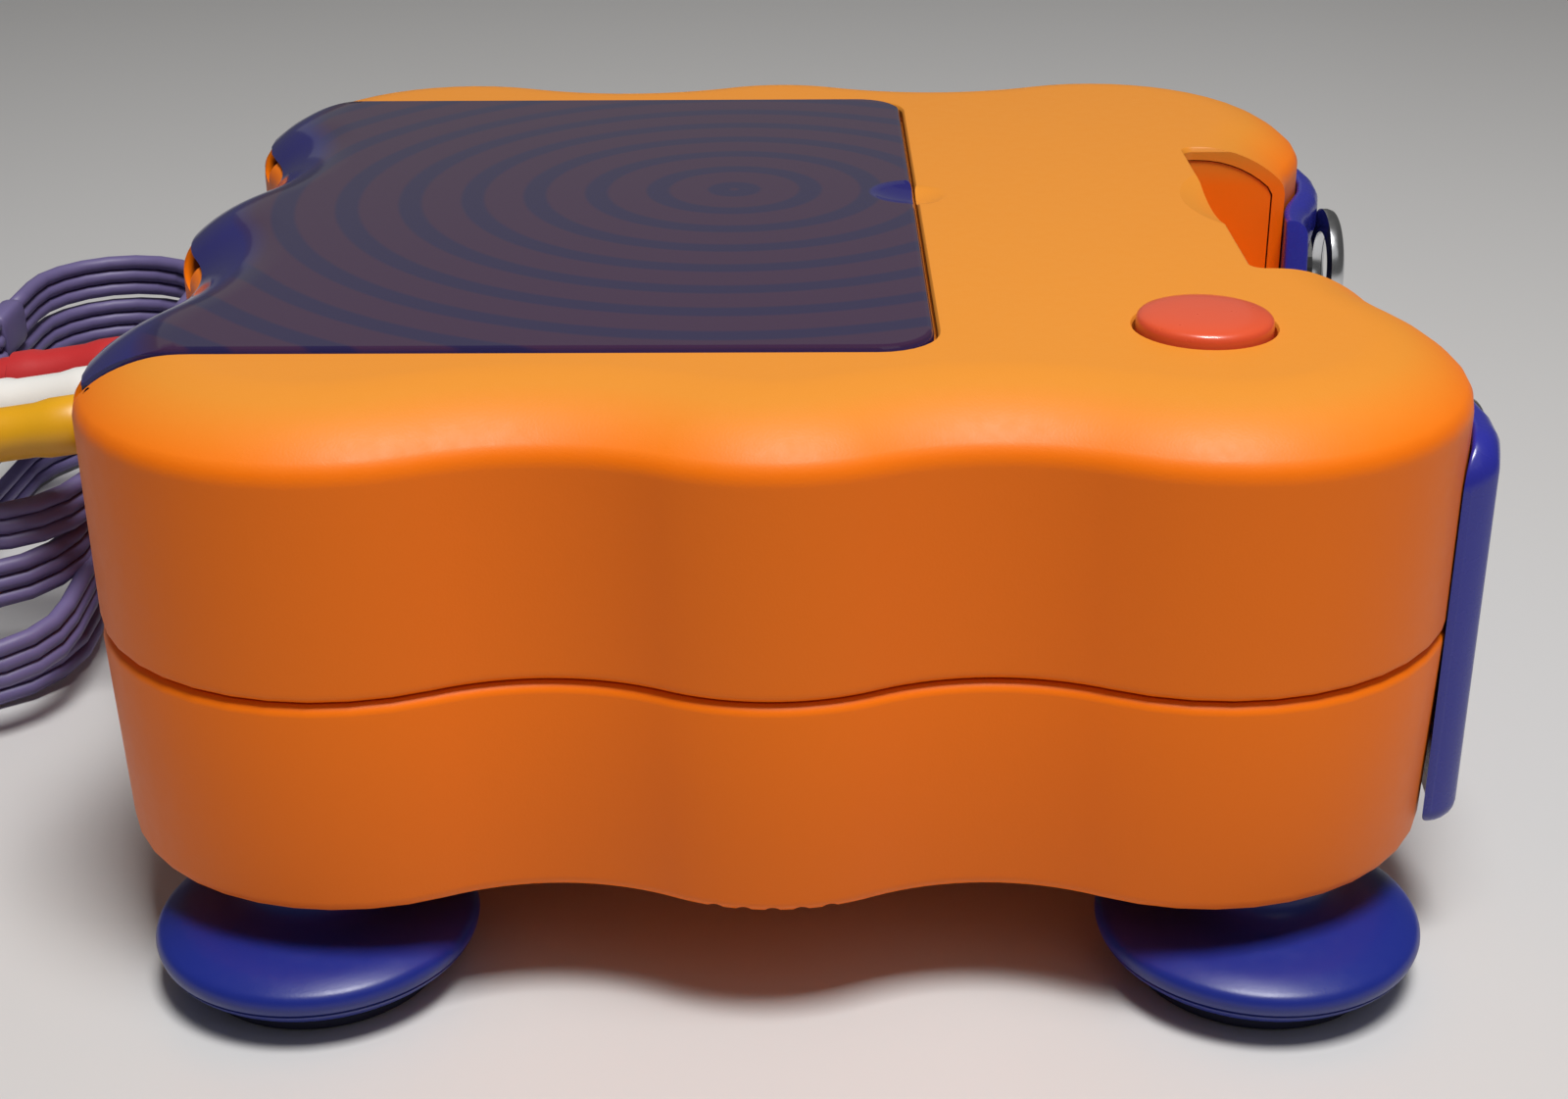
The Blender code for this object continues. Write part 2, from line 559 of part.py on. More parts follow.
def make_front():
    """The wavy front plate, with its two sockets, their bezels and the two front buttons."""
    def plate_ring(offset):
        points = [p for p in outline(-offset) if p.y < -DEPTH / 4 and abs(p.x) < PLATE_HALF_WIDTH - WALL]
        ends = [Vector((x, front_surface(x, -offset))) for x in (-PLATE_HALF_WIDTH, PLATE_HALF_WIDTH)]
        return sorted(points + ends, key=lambda p: p.x)

    def body(work):
        inner = [(p.x, p.y) for p in plate_ring(GAP)]
        outer = [(p.x, p.y) for p in plate_ring(GAP + PLATE_THICKNESS)]
        ring = inner + outer[::-1]
        loft(work, [[(x, y, z) for x, y in ring] for z in (PLATE_BOTTOM, PLATE_TOP)])

    plate = add_object("front_plate", body, "blue")
    for side, sign in (("left", -1), ("right", 1)):
        x = sign * SOCKET_X
        face = front_surface(x, -GAP - PLATE_THICKNESS)
        hole = SOCKET_RADIUS + GAP
        boolean(plate, cutter(f"plate_socket_{side}", lambda work: turned(
            work, [(hole, -DEPTH), (hole, -DEPTH / 3)], (x, 0, SOCKET_Z), "Y")), "DIFFERENCE")
        rear = face + SOCKET_LENGTH
        mouth = face + BUTTON_CLEARANCE
        flange = SOCKET_RADIUS + 2 * BUTTON_CLEARANCE
        inner_wall = max(front_surface(x + step, WALL) for step in (-flange, 0.0, flange)) + GAP
        socket = add_object(f"socket_{side}", lambda work: turned(
            work, [(SOCKET_RADIUS, mouth), (SOCKET_RADIUS, inner_wall), (flange, inner_wall), (flange, rear)],
            (x, 0, SOCKET_Z), "Y"), "black")
        boolean(socket, cutter(f"socket_bore_{side}", lambda work: turned(
            work, [(SOCKET_BORE, -DEPTH), (SOCKET_BORE, rear - WALL)], (x, 0, SOCKET_Z), "Y", 24)), "DIFFERENCE")
        ring_face = bezel_face(x)
        bezel = add_object(f"socket_bezel_{side}", lambda work: turned(
            work, [(BEZEL_RADIUS, ring_face), (BEZEL_RADIUS, ring_face - BEZEL_DEPTH / 2),
                   (BEZEL_RADIUS - BEZEL_DEPTH / 2, ring_face - BEZEL_DEPTH)], (x, 0, SOCKET_Z), "Y"), "silver")
        boolean(bezel, cutter(f"bezel_hole_{side}", lambda work: turned(
            work, [(SOCKET_RADIUS - WALL / 2, -DEPTH), (SOCKET_RADIUS - WALL / 2, 0)], (x, 0, SOCKET_Z), "Y", 24)),
            "DIFFERENCE")
    for side, sign in (("on", -1), ("off", 1)):
        x = sign * FRONT_BUTTON_X
        hole = FRONT_BUTTON_RADIUS + BUTTON_CLEARANCE
        boolean(plate, cutter(f"plate_{side}", lambda work: turned(
            work, [(hole, -DEPTH), (hole, -DEPTH / 3)], (x, 0, FRONT_BUTTON_Z), "Y")), "DIFFERENCE")
        tip = front_surface(x * 0.6, -GAP - PLATE_THICKNESS) - BUTTON_TRAVEL
        button = add_object(f"{side}_button", lambda work: turned(
            work, [(FRONT_BUTTON_RADIUS * 0.8, tip), (FRONT_BUTTON_RADIUS, tip + BUTTON_TRAVEL / 2),
                   (FRONT_BUTTON_RADIUS, FRONT_FLANGE_Y), (FRONT_FLANGE, FRONT_FLANGE_Y),
                   (FRONT_FLANGE, FRONT_FLANGE_Y + FLANGE_THICKNESS)], (x, 0, FRONT_BUTTON_Z), "Y", 24), "red")
        seat_on_axis(button, f"{side}_press", (x, FRONT_FLANGE_Y, FRONT_BUTTON_Z))
        press = FRONT_FLANGE_Y + FLANGE_THICKNESS + BUTTON_TRAVEL + GAP
        half = SWITCH_SIZE / 2
        add_object(f"{side}_switch", lambda work: box(
            work, (x - half, press, FRONT_BUTTON_Z - half),
            (x + half, press + SWITCH_HEIGHT, FRONT_BUTTON_Z + half)), "black")
    back = FRONT_FLANGE_Y + FLANGE_THICKNESS + BUTTON_TRAVEL + 2 * GAP + SWITCH_HEIGHT
    reach = FRONT_BUTTON_X + FRONT_FLANGE
    add_object("front_switch_board", lambda work: box(
        work, (-reach, back, BOARD_BOTTOM + BOARD_THICKNESS + GAP),
        (reach, back + BOARD_THICKNESS, FRONT_BUTTON_Z + FRONT_FLANGE)), "board")


def make_restart():
    crown = TOP + RESTART_PROUD
    under = TOP - WALL - GAP
    low = under - FLANGE_THICKNESS
    button = add_object("restart_button", lambda work: turned(
        work, [(RESTART_FLANGE, low), (RESTART_FLANGE, under), (RESTART_RADIUS, under),
               (RESTART_RADIUS, crown - RESTART_PROUD / 2), (RESTART_RADIUS * 0.9, crown - RESTART_PROUD / 8),
               (RESTART_RADIUS * 0.6, crown)], (RESTART_X, RESTART_Y, 0)), "red")
    seat_on_axis(button, "restart_press", (RESTART_X, RESTART_Y, TOP))
    top = low - BUTTON_TRAVEL - GAP
    half = SWITCH_SIZE / 2
    add_object("restart_switch", lambda work: box(
        work, (RESTART_X - half, RESTART_Y - half, top - SWITCH_HEIGHT),
        (RESTART_X + half, RESTART_Y + half, top)), "black")
    board_top = min(top - SWITCH_HEIGHT, TOP - WALL - BOSS_DROP) - GAP
    reach = RESTART_FLANGE + 2 * SCREW_HEAD + BUTTON_CLEARANCE
    add_object("restart_switch_board", lambda work: box(
        work, (RESTART_X - reach, RESTART_Y - SWITCH_SIZE, board_top - BOARD_THICKNESS),
        (RESTART_X + reach, RESTART_Y + SWITCH_SIZE, board_top)), "board")


def make_feet():
    top = SHELL_BOTTOM - GAP
    disc = [
        (PAD_RADIUS - PAD_ROUND / 2, PAD_HEIGHT + GAP),
        (FOOT_RADIUS - FOOT_UNDERCUT, (PAD_HEIGHT + FOOT_RIM) / 2),
        (FOOT_RADIUS, FOOT_RIM),
        (FOOT_RADIUS - FOOT_RIM_INSET, FOOT_RIM + FOOT_RIM_RISE),
        (FOOT_RADIUS * FOOT_SHOULDER_SHARE, FOOT_RIM + FOOT_SHOULDER_RISE * (top - FOOT_RIM)),
        (FOOT_RADIUS * FOOT_NECK_SHARE, FOOT_RIM + FOOT_NECK_RISE * (top - FOOT_RIM)),
        (FOOT_RADIUS * FOOT_NECK_SHARE, top),
    ]
    pad = [(PAD_RADIUS - PAD_ROUND, 0), (PAD_RADIUS, PAD_ROUND), (PAD_RADIUS, PAD_HEIGHT)]
    for x_name, x in (("left", -FOOT_X), ("right", FOOT_X)):
        for y_name, y in (("front", FOOT_FRONT), ("rear", FOOT_REAR)):
            add_object(f"foot_{y_name}_{x_name}", lambda work: turned(work, disc, (x, y, 0)), "blue")
            add_object(f"foot_pad_{y_name}_{x_name}", lambda work: turned(work, pad, (x, y, 0)), "rubber")


def make_inside():
    """Main board on its posts, the battery box with its contacts, and the battery door."""
    board = add_object("main_board", lambda work: box(
        work, (-BOARD_HALF_WIDTH, BOARD_FRONT, BOARD_BOTTOM),
        (BOARD_HALF_WIDTH, BOARD_REAR, BOARD_BOTTOM + BOARD_THICKNESS)), "board")
    for number, (x, y) in enumerate(board_posts(), 1):
        boolean(board, turned_tool(
            f"board_hole_{number}", SCREW_RADIUS + GAP, BOARD_BOTTOM - WALL, BOARD_BOTTOM + WALL, x, y), "DIFFERENCE")
        screw(f"board_screw_{number}", x, y, BOARD_BOTTOM + BOARD_THICKNESS, BOARD_SCREW_LENGTH)
    half, front, rear = BATTERY_HALF_WIDTH, BATTERY_FRONT, BATTERY_REAR
    low = FLOOR_TOP + GAP
    ledge = DOOR_LEDGE
    tub = add_object("battery_box", lambda work: box(
        work, (-half - ledge, front - ledge, low), (half + ledge, rear + ledge, low + BATTERY_HEIGHT)), "orange")
    inner = (half - BATTERY_WALL, front + BATTERY_WALL, rear - BATTERY_WALL)
    boolean(tub, cutter("battery_hollow", lambda work: box(
        work, (-inner[0], inner[1], 0), (inner[0], inner[2], low + BATTERY_HEIGHT - BATTERY_WALL))), "DIFFERENCE")
    for name, x in (("left", -inner[0] + GAP), ("right", inner[0] - GAP - CONTACT_THICKNESS)):
        add_object(f"battery_contact_{name}", lambda work: box(
            work, (x, inner[1] + CONTACT_MARGIN, low + CONTACT_MARGIN),
            (x + CONTACT_THICKNESS, inner[2] - CONTACT_MARGIN, low + BATTERY_HEIGHT - CONTACT_MARGIN)), "steel")
    play = BUTTON_CLEARANCE
    door = add_object("battery_door", lambda work: box(
        work, (-half + play, front + play, SHELL_BOTTOM), (half - play, rear - play, FLOOR_TOP)), "orange")
    screw_y = front + play + 2 * DOOR_LEDGE
    boolean(door, turned_tool("door_screw_hole", SCREW_HEAD + GAP, 0, TOP, 0, screw_y), "DIFFERENCE")
    add_object("battery_door_screw", lambda work: turned(
        work, [(SCREW_HEAD, SHELL_BOTTOM + GAP), (SCREW_HEAD, FLOOR_TOP)], (0, screw_y, 0), steps=16), "steel")


def make_rear():
    jack_face = rear_surface(JACK_X)
    flange = JACK_RADIUS + 2 * BUTTON_CLEARANCE
    shoulder = jack_face - 2 * WALL
    jack = add_object("power_jack", lambda work: turned(
        work, [(flange, jack_face - JACK_LENGTH), (flange, shoulder),
               (JACK_RADIUS, shoulder), (JACK_RADIUS, jack_face + 2 * BUTTON_CLEARANCE)],
        (JACK_X, 0, JACK_Z), "Y", 24), "black")
    boolean(jack, cutter("jack_bore", lambda work: turned(
        work, [(JACK_BORE, jack_face - JACK_BORE_DEPTH), (JACK_BORE, DEPTH)],
        (JACK_X, 0, JACK_Z), "Y", 16)), "DIFFERENCE")
    face = rear_surface(GLAND_X)
    outside = face + 2 * WALL
    inside = face - 2 * WALL
    add_object("lead_gland", lambda work: turned(
        work, [(GLAND_FLANGE, face - GLAND_DEPTH), (GLAND_FLANGE, inside), (GLAND_NECK, inside),
               (GLAND_NECK, outside), (GLAND_RADIUS, outside), (GLAND_RADIUS, outside + WALL), (GLAND_NECK, GLAND_TIP)],
        (GLAND_X, 0, GLAND_Z), "Y", 24), "lead")


def rear_surface(x):
    return -front_surface(x)


def smooth_route(points, spacing):
    """Points at an even spacing along a smooth curve through the route's own points."""
    route = [Vector(p) for p in points]
    ends = [2 * route[0] - route[1]] + route + [2 * route[-1] - route[-2]]
    dense = []
    for a, b, c, d in zip(ends, ends[1:], ends[2:], ends[3:]):
        for i in range(24):
            t = i / 24
            dense.append(0.5 * (2 * b + (c - a) * t + (2 * a - 5 * b + 4 * c - d) * t**2 + (3 * b - 3 * c + d - a) * t**3))
    dense.append(route[-1])
    lengths = [(q - p).length for p, q in zip(dense, dense[1:])]
    count = max(2, round(sum(lengths) / spacing))
    step = sum(lengths) / count
    made, run, target = [dense[0]], 0.0, step
    for p, q, length in zip(dense, dense[1:], lengths):
        while run + length >= target and len(made) < count:
            made.append(p.lerp(q, (target - run) / length))
            target += step
        run += length
    return made + [dense[-1]]


def add_tube(name, points, finish, thickness, extra_height=0.0, sides=2):
    """A cord as a curve: round, or flat and on edge where it has an extra height."""
    curve = bpy.data.curves.new(name, "CURVE")
    curve.dimensions = "3D"
    curve.twist_mode = "Z_UP"
    curve.bevel_depth = thickness / 2
    curve.extrude = extra_height / 2
    curve.bevel_resolution = sides
    curve.use_fill_caps = True
    spline = curve.splines.new("POLY")
    spline.points.add(len(points) - 1)
    for target, point in zip(spline.points, points):
        target.co = (*point, 1)
    made = bpy.data.objects.new(name, curve)
    bpy.context.scene.collection.objects.link(made)
    made.data.materials.append(material(finish))
    return made


def loop_points():
    """The put-away length: long loops laid one on another, each climbing along its near run."""
    cx, cy = LOOP_CENTRE
    run = 2 * LOOP_HALF_RUN
    points = []
    per_loop = LOOP_POINTS
    total = round((LOOP_COUNT + LOOP_END_SHARE) * per_loop)
    for i in range(total + 1):
        turn = i / per_loop
        layer = int(turn)
        share = turn - layer
        shrink = min(1.0, max(0.0, (share - 0.62) / 0.3))
        ease = shrink * shrink * (3 - 2 * shrink)
        level = LOOP_Z + LAYER_PITCH * (layer + ease)
        drawn_in = min(1.0, layer + ease)
        radius = LOOP_RADIUS_OUT + (LOOP_RADIUS_IN - LOOP_RADIUS_OUT) * drawn_in
        half_turn = math.pi * radius
        along = share * (2 * run + 2 * half_turn)
        if along < half_turn:
            angle = -math.pi / 2 + along / radius
            place = (cx + LOOP_HALF_RUN + radius * math.cos(angle), cy + radius * math.sin(angle))
        elif along < half_turn + run:
            place = (cx + LOOP_HALF_RUN - (along - half_turn), cy + radius)
        elif along < 2 * half_turn + run:
            angle = math.pi / 2 + (along - half_turn - run) / radius
            place = (cx - LOOP_HALF_RUN + radius * math.cos(angle), cy + radius * math.sin(angle))
        else:
            place = (cx - LOOP_HALF_RUN + (along - 2 * half_turn - run), cy - radius)
        points.append(Vector((place[0], place[1], level)))
    lead_in = points[0] - Vector((RIBBON_HEIGHT, 0, 0))
    return [lead_in] + points


def least_self_gap(points, thickness, height):
    """The narrowest space between two turns of the flat lead."""
    least = 1.0
    for i, p in enumerate(points):
        for q in points[i + LOOP_POINTS // 2:]:
            across = math.hypot(p.x - q.x, p.y - q.y) - thickness
            above = abs(p.z - q.z) - height
            least = min(least, max(across, above))
    return least


def make_lead():
    loops = loop_points()
    print(f"least gap between the lead's turns: {1000 * least_self_gap(loops, STRAND, RIBBON_HEIGHT):.2f} mm")
    flat = RIBBON_HEIGHT - STRAND
    start = loops[0]
    add_tube("av_lead_loops", loops, "lead", STRAND, flat, 1)
    route = [
        (GLAND_X, GLAND_TIP + 2 * GAP, GLAND_Z),
        (GLAND_X, GLAND_TIP + 0.004, GLAND_Z),
        (GLAND_X + 0.004, GLAND_TIP + 0.010, GLAND_Z - 0.001),
        (GLAND_X + 0.012, GLAND_TIP + 0.0128, GLAND_Z - 0.004),
        (GLAND_X + 0.030, GLAND_TIP + 0.0125, GLAND_Z - 0.014),
        (GLAND_X + 0.050, start.y - 0.003, GLAND_Z - 0.026),
        (start.x - 0.016, start.y - 0.0005, start.z + 0.0012),
        (start.x - 0.007, start.y, start.z),
        (start.x - GAP, start.y, start.z),
    ]
    add_tube("av_lead", smooth_route(route, 2 * STRAND), "lead", STRAND, flat, 2)
    end = loops[-1]
    sleeve_end = end.x - GAP - SLEEVE_LENGTH
    add_object("lead_split", lambda work: box(
        work, (sleeve_end, end.y - STRAND * 0.8, end.z - RIBBON_HEIGHT * 0.52),
        (end.x - GAP, end.y + STRAND * 0.8, end.z + RIBBON_HEIGHT * 0.52)), "lead")
    for row, (colour, x) in enumerate(PLUG_X.items()):
        level = end.z + (row - 1) * (STRAND + GAP)
        boot_end = PLUG_TIP_Y + PLUG_PIN + PLUG_BODY + BOOT_LENGTH
        far = boot_end + TAIL_REACH + TAIL_STEP * (len(PLUG_X) - row)
        tail = [
            (sleeve_end - 2 * GAP, end.y, level),
            (sleeve_end - 0.005, end.y, level),
            (sleeve_end - 0.022, end.y + 0.7 * (far - end.y), level + 0.6 * (PLUG_Z - level)),
            (x + 0.014, far - 0.0015, PLUG_Z),
            (x + 0.004, far - 0.004, PLUG_Z),
            (x, boot_end + 0.006, PLUG_Z),
            (x, boot_end + 2 * GAP, PLUG_Z),
        ]
        add_tube(f"lead_{colour}", smooth_route(tail, 2 * STRAND), "lead", STRAND, 0.0, 2)
        make_plug(colour, x, boot_end)


def make_plug(colour, x, boot_end):
    """A phono plug: metal pin and collar, a moulded grip and a ringed boot."""
    pin_end = PLUG_TIP_Y
    collar = PLUG_TIP_Y + PLUG_COLLAR_START
    body = PLUG_TIP_Y + PLUG_PIN
    grip = [(PLUG_COLLAR_RADIUS, collar), (PLUG_COLLAR_RADIUS, body), (PLUG_RADIUS, body), (PLUG_RADIUS, body + PLUG_BODY)]
    boot_start = body + PLUG_BODY
    for i in range(1, BOOT_STEPS + 1):
        share = i / BOOT_STEPS
        radius = PLUG_RADIUS - 2 * GAP + share * (STRAND * 0.75 - PLUG_RADIUS)
        grip.append((radius, boot_start + share * BOOT_LENGTH))
    profile = [(PLUG_PIN_RADIUS, pin_end), (PLUG_PIN_RADIUS, collar)] + grip
    add_object(f"plug_{colour}", lambda work: turned(work, profile, (x, 0, PLUG_Z), "Y", 20), colour)


def bezel_face(x):
    """Y of the plate's outermost point under a bezel, which the bezel's back clears."""
    steps = (-BEZEL_RADIUS, -SOCKET_RADIUS, 0.0, SOCKET_RADIUS, BEZEL_RADIUS)
    return min(front_surface(x + step, -GAP - PLATE_THICKNESS) for step in steps) - GAP


def centre_on_origin():
    """Puts the middle of the object, without its lead, over the origin."""
    front = bezel_face(SOCKET_X) - BEZEL_DEPTH
    shift = -(front + DEPTH / 2) / 2
    for item in bpy.data.objects:
        if item.parent is None:
            item.location.y += shift
    print(f"moved to the origin by {1000 * shift:.4f} mm along Y")


remove_everything()
make_upper_shell()
make_lower_shell()
make_storage()
make_cartridge_well()
make_front()
make_restart()
make_feet()
make_inside()
make_rear()
make_lead()
centre_on_origin()
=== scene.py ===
import json
from math import asin, atan2, copysign, cos, pi, radians, sin, sqrt

import bmesh
import bpy
from mathutils import Matrix, Vector


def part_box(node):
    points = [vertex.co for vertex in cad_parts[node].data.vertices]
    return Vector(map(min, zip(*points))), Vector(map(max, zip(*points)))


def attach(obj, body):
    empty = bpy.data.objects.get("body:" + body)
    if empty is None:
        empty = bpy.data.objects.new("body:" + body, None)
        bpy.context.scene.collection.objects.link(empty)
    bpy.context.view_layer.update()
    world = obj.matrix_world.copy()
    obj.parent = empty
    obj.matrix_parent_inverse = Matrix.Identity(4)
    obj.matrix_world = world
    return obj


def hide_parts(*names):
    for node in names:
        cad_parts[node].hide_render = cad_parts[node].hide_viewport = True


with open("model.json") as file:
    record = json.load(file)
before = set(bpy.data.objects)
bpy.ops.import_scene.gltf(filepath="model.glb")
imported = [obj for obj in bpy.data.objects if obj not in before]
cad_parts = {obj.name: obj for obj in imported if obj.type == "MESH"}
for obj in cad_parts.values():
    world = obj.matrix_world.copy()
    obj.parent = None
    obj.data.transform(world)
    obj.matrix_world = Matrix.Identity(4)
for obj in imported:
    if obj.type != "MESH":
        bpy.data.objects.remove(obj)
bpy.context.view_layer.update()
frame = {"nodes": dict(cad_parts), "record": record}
scene = bpy.context.scene

# The view: a low camera square to the console's side, a pale table and soft light from above.
# The camera was fitted to the wavy edges of the shell, in pixels of a 1600 by 1121 picture.
shell_low, shell_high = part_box("upper_shell")
MIDDLE_Y = (shell_low.y + shell_high.y) / 2
CAMERA_AT = Vector((-0.4094, MIDDLE_Y - 0.0054, 0.2208))
CAMERA_YAW = 0.0108
CAMERA_PITCH = 0.4288
CAMERA_ROLL = -0.0067
CAMERA_NEAR = 0.01
FOCAL_PIXELS = 2321.24
PICTURE_WIDTH = 1600
SENSOR = 36.0
TABLE_HALF = 4.0

camera_data = bpy.data.cameras.new("camera")
camera_data.sensor_width = SENSOR
camera_data.lens = SENSOR * FOCAL_PIXELS / PICTURE_WIDTH
camera_data.clip_start = CAMERA_NEAR
camera = bpy.data.objects.new("camera", camera_data)
camera.matrix_world = (Matrix.Translation(CAMERA_AT) @ Matrix.Rotation(CAMERA_YAW - pi / 2, 4, "Z")
                       @ Matrix.Rotation(pi / 2 - CAMERA_PITCH, 4, "X")
                       @ Matrix.Rotation(CAMERA_ROLL, 4, "Z"))
scene.collection.objects.link(camera)
scene.camera = camera
scene.view_settings.view_transform = "Standard"


def set_values(node, values):
    for socket, value in values.items():
        node.inputs[socket].default_value = value


def new_finish(name):
    """A new material and its shader."""
    made = bpy.data.materials.new(name)
    made.use_nodes = True
    return made, made.node_tree.nodes["Principled BSDF"]


def soft_light(name, place, aim, width, power, colour=(1, 1, 1)):
    """A square lamp at a place, turned to face a point."""
    data = bpy.data.lights.new(name, "AREA")
    data.size = width
    data.energy = power
    data.color = colour
    lamp = bpy.data.objects.new(name, data)
    lamp.location = place
    lamp.rotation_euler = (Vector(aim) - Vector(place)).to_track_quat("-Z", "Y").to_euler()
    scene.collection.objects.link(lamp)


soft_light("ceiling_light", place=(-0.36, -0.14, 1.3), aim=(-0.1, -0.05, 0.0), width=0.42, power=19.0,
           colour=(1.0, 0.99, 0.98))
soft_light("side_light", place=(-0.9, -0.5, 1.1), aim=(0, 0, 0.05), width=0.8, power=0.8)
soft_light("back_light", place=(1.3, 0.1, 0.8), aim=(0, 0, 0.1), width=1.2, power=0.5)
world = bpy.data.worlds.new("room")
world.use_nodes = True
set_values(world.node_tree.nodes["Background"], {"Color": (0.80, 0.79, 0.77, 1), "Strength": 0.11})
scene.world = world

table_mesh = bpy.data.meshes.new("table")
table_corners = [(TABLE_HALF * x, TABLE_HALF * y, 0) for x, y in ((-1, -1), (1, -1), (1, 1), (-1, 1))]
table_mesh.from_pydata(table_corners, [], [(0, 1, 2, 3)])
table = bpy.data.objects.new("table", table_mesh)
table_finish, table_shader = new_finish("table_finish")
set_values(table_shader, {"Base Color": (0.61, 0.605, 0.60, 1), "Roughness": 0.32})
table_mesh.materials.append(table_finish)
scene.collection.objects.link(table)


# The television lead: three round strands moulded side by side as one flat lead, soft purple vinyl.
# It leaves the rear wall through a gland, drops to the table and lies in long loops behind the console.
STRAND = 0.0034
STRAND_PRESS = 0.97
STRAND_SIDES = 12
JOINT_GAP = 0.0003
GLAND_X = 0.037
GLAND_TIP = MIDDLE_Y + 0.119
GLAND_Z = 0.040
LOOP_CENTRE = (0.066, MIDDLE_Y + 0.160)
LOOP_HALF_RUN = 0.045
LOOP_RADIUS_OUT = 0.026
LOOP_RADIUS_IN = 0.020
LOOP_TURNS = 4.25
LOOP_STEPS = 48
LOOP_Z = 0.0055
LAYER_PITCH = 0.0109
CLIMB_START = 0.62
CLIMB_SHARE = 0.3
LOOSE_TURNS = 3.0
LOOP_SLIP = 0.012
SLIP_BEATS = (2.4, 3.1)
ROUTE_STEPS = 24
# Steps from the gland's tip, a turn towards the loops, and steps back from the loops' first point.
DROP_STEPS = ((0, 0.004, 0), (0.004, 0.010, -0.001), (0.012, 0.0128, -0.004), (0.030, 0.0125, -0.014))
DROP_TURN = (0.050, -0.003, -0.026)
LANDING_STEPS = ((-0.026, -0.0005, 0.0012), (-0.017, 0, 0), (-0.008, 0, 0))
BROAD_SCALE = 22.0
SPECK_SCALE = 420.0
GLOSS_DRIFT = 0.12
BUMP_STRENGTH = 0.35
COAT_ROUGHNESS = 0.08


def add_node(tree, kind, sources=None, values=None, **settings):
    """Adds a node with its options, values and links, and gives back its first output in use."""
    made = tree.nodes.new(kind)
    for option, choice in settings.items():
        setattr(made, option, choice)
    set_values(made, values or {})
    for socket, source in (sources or {}).items():
        tree.links.new(source, made.inputs[socket])
    return next((output for output in made.outputs if output.enabled), None)


def add_sockets(tree, side, sockets):
    for label, kind in sockets.items():
        tree.interface.new_socket(label, in_out=side, socket_type=f"NodeSocket{kind}")


def grain_group():
    """Fine moulded grain shared by the plastics: colour drift, gloss drift and a small bump."""
    group = bpy.data.node_groups.new("moulded_grain", "ShaderNodeTree")
    add_sockets(group, "INPUT", {"Colour": "Color", "Shade": "Color", "Drift": "Float", "Roughness": "Float",
                                 "Grain Scale": "Float", "Grain Depth": "Float"})
    add_sockets(group, "OUTPUT", {"Colour": "Color", "Roughness": "Float", "Normal": "Vector"})
    given = group.nodes.new("NodeGroupInput").outputs
    place = group.nodes.new("ShaderNodeTexCoord").outputs["Object"]
    noise = "ShaderNodeTexNoise"
    broad = add_node(group, noise, {"Vector": place}, {"Scale": BROAD_SCALE, "Detail": 4.0})
    fine = add_node(group, noise, {"Vector": place, "Scale": given["Grain Scale"]}, {"Detail": 2.0})
    specks = add_node(group, noise, {"Vector": place}, {"Scale": SPECK_SCALE})
    drift = add_node(group, "ShaderNodeMath", {0: broad, 1: given["Drift"]}, operation="MULTIPLY")
    blend = add_node(group, "ShaderNodeMix", {"Factor": drift, "A": given["Colour"], "B": given["Shade"]},
                     data_type="RGBA")
    gloss = add_node(group, "ShaderNodeMath", {0: specks, 2: given["Roughness"]}, {1: GLOSS_DRIFT},
                     operation="MULTIPLY_ADD")
    bump = add_node(group, "ShaderNodeBump", {"Height": fine, "Distance": given["Grain Depth"]},
                    {"Strength": BUMP_STRENGTH})
    add_node(group, "NodeGroupOutput", {"Colour": blend, "Roughness": gloss, "Normal": bump})
    return group


moulded_grain = grain_group()


def grained(name, colour, shade, drift, roughness, grain_scale, grain_depth, looks):
    """A material that takes its colour, gloss and small bumps from the moulded grain."""
    made, shader = new_finish(name)
    set_values(shader, looks)
    grain = made.node_tree.nodes.new("ShaderNodeGroup")
    grain.node_tree = moulded_grain
    set_values(grain, {"Colour": (*colour, 1), "Shade": (*shade, 1), "Drift": drift, "Roughness": roughness,
                       "Grain Scale": grain_scale, "Grain Depth": grain_depth})
    for output, socket in (("Colour", "Base Color"), ("Roughness", "Roughness"), ("Normal", "Normal")):
        made.node_tree.links.new(grain.outputs[output], shader.inputs[socket])
    return made


def moulded(name, colour, shade, roughness, grain_scale=2600.0, grain_depth=0.00006, drift=0.6, coat=0.0):
    """A moulded plastic: two near colours drifting into each other under a fine grain."""
    return grained(name, colour, shade, drift, roughness - GLOSS_DRIFT / 2, grain_scale, grain_depth,
                   {"Coat Weight": coat, "Coat Roughness": COAT_ROUGHNESS})


def new_piece(name, fill, finish, body="console"):
    """Makes a mesh piece with a function that fills a bmesh, and lets it ride on a body."""
    mesh = bpy.data.meshes.new(name)
    work = bmesh.new()
    fill(work)
    bmesh.ops.remove_doubles(work, verts=work.verts, dist=1e-6)
    bmesh.ops.recalc_face_normals(work, faces=work.faces)
    work.to_mesh(mesh)
    work.free()
    piece = bpy.data.objects.new(name, mesh)
    scene.collection.objects.link(piece)
    if finish:
        mesh.materials.append(finish)
    if body:
        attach(piece, body)
    return piece


def around(count):
    """(Cosine, sine) pairs at even steps round a full turn."""
    return [(cos(2 * pi * i / count), sin(2 * pi * i / count)) for i in range(count)]


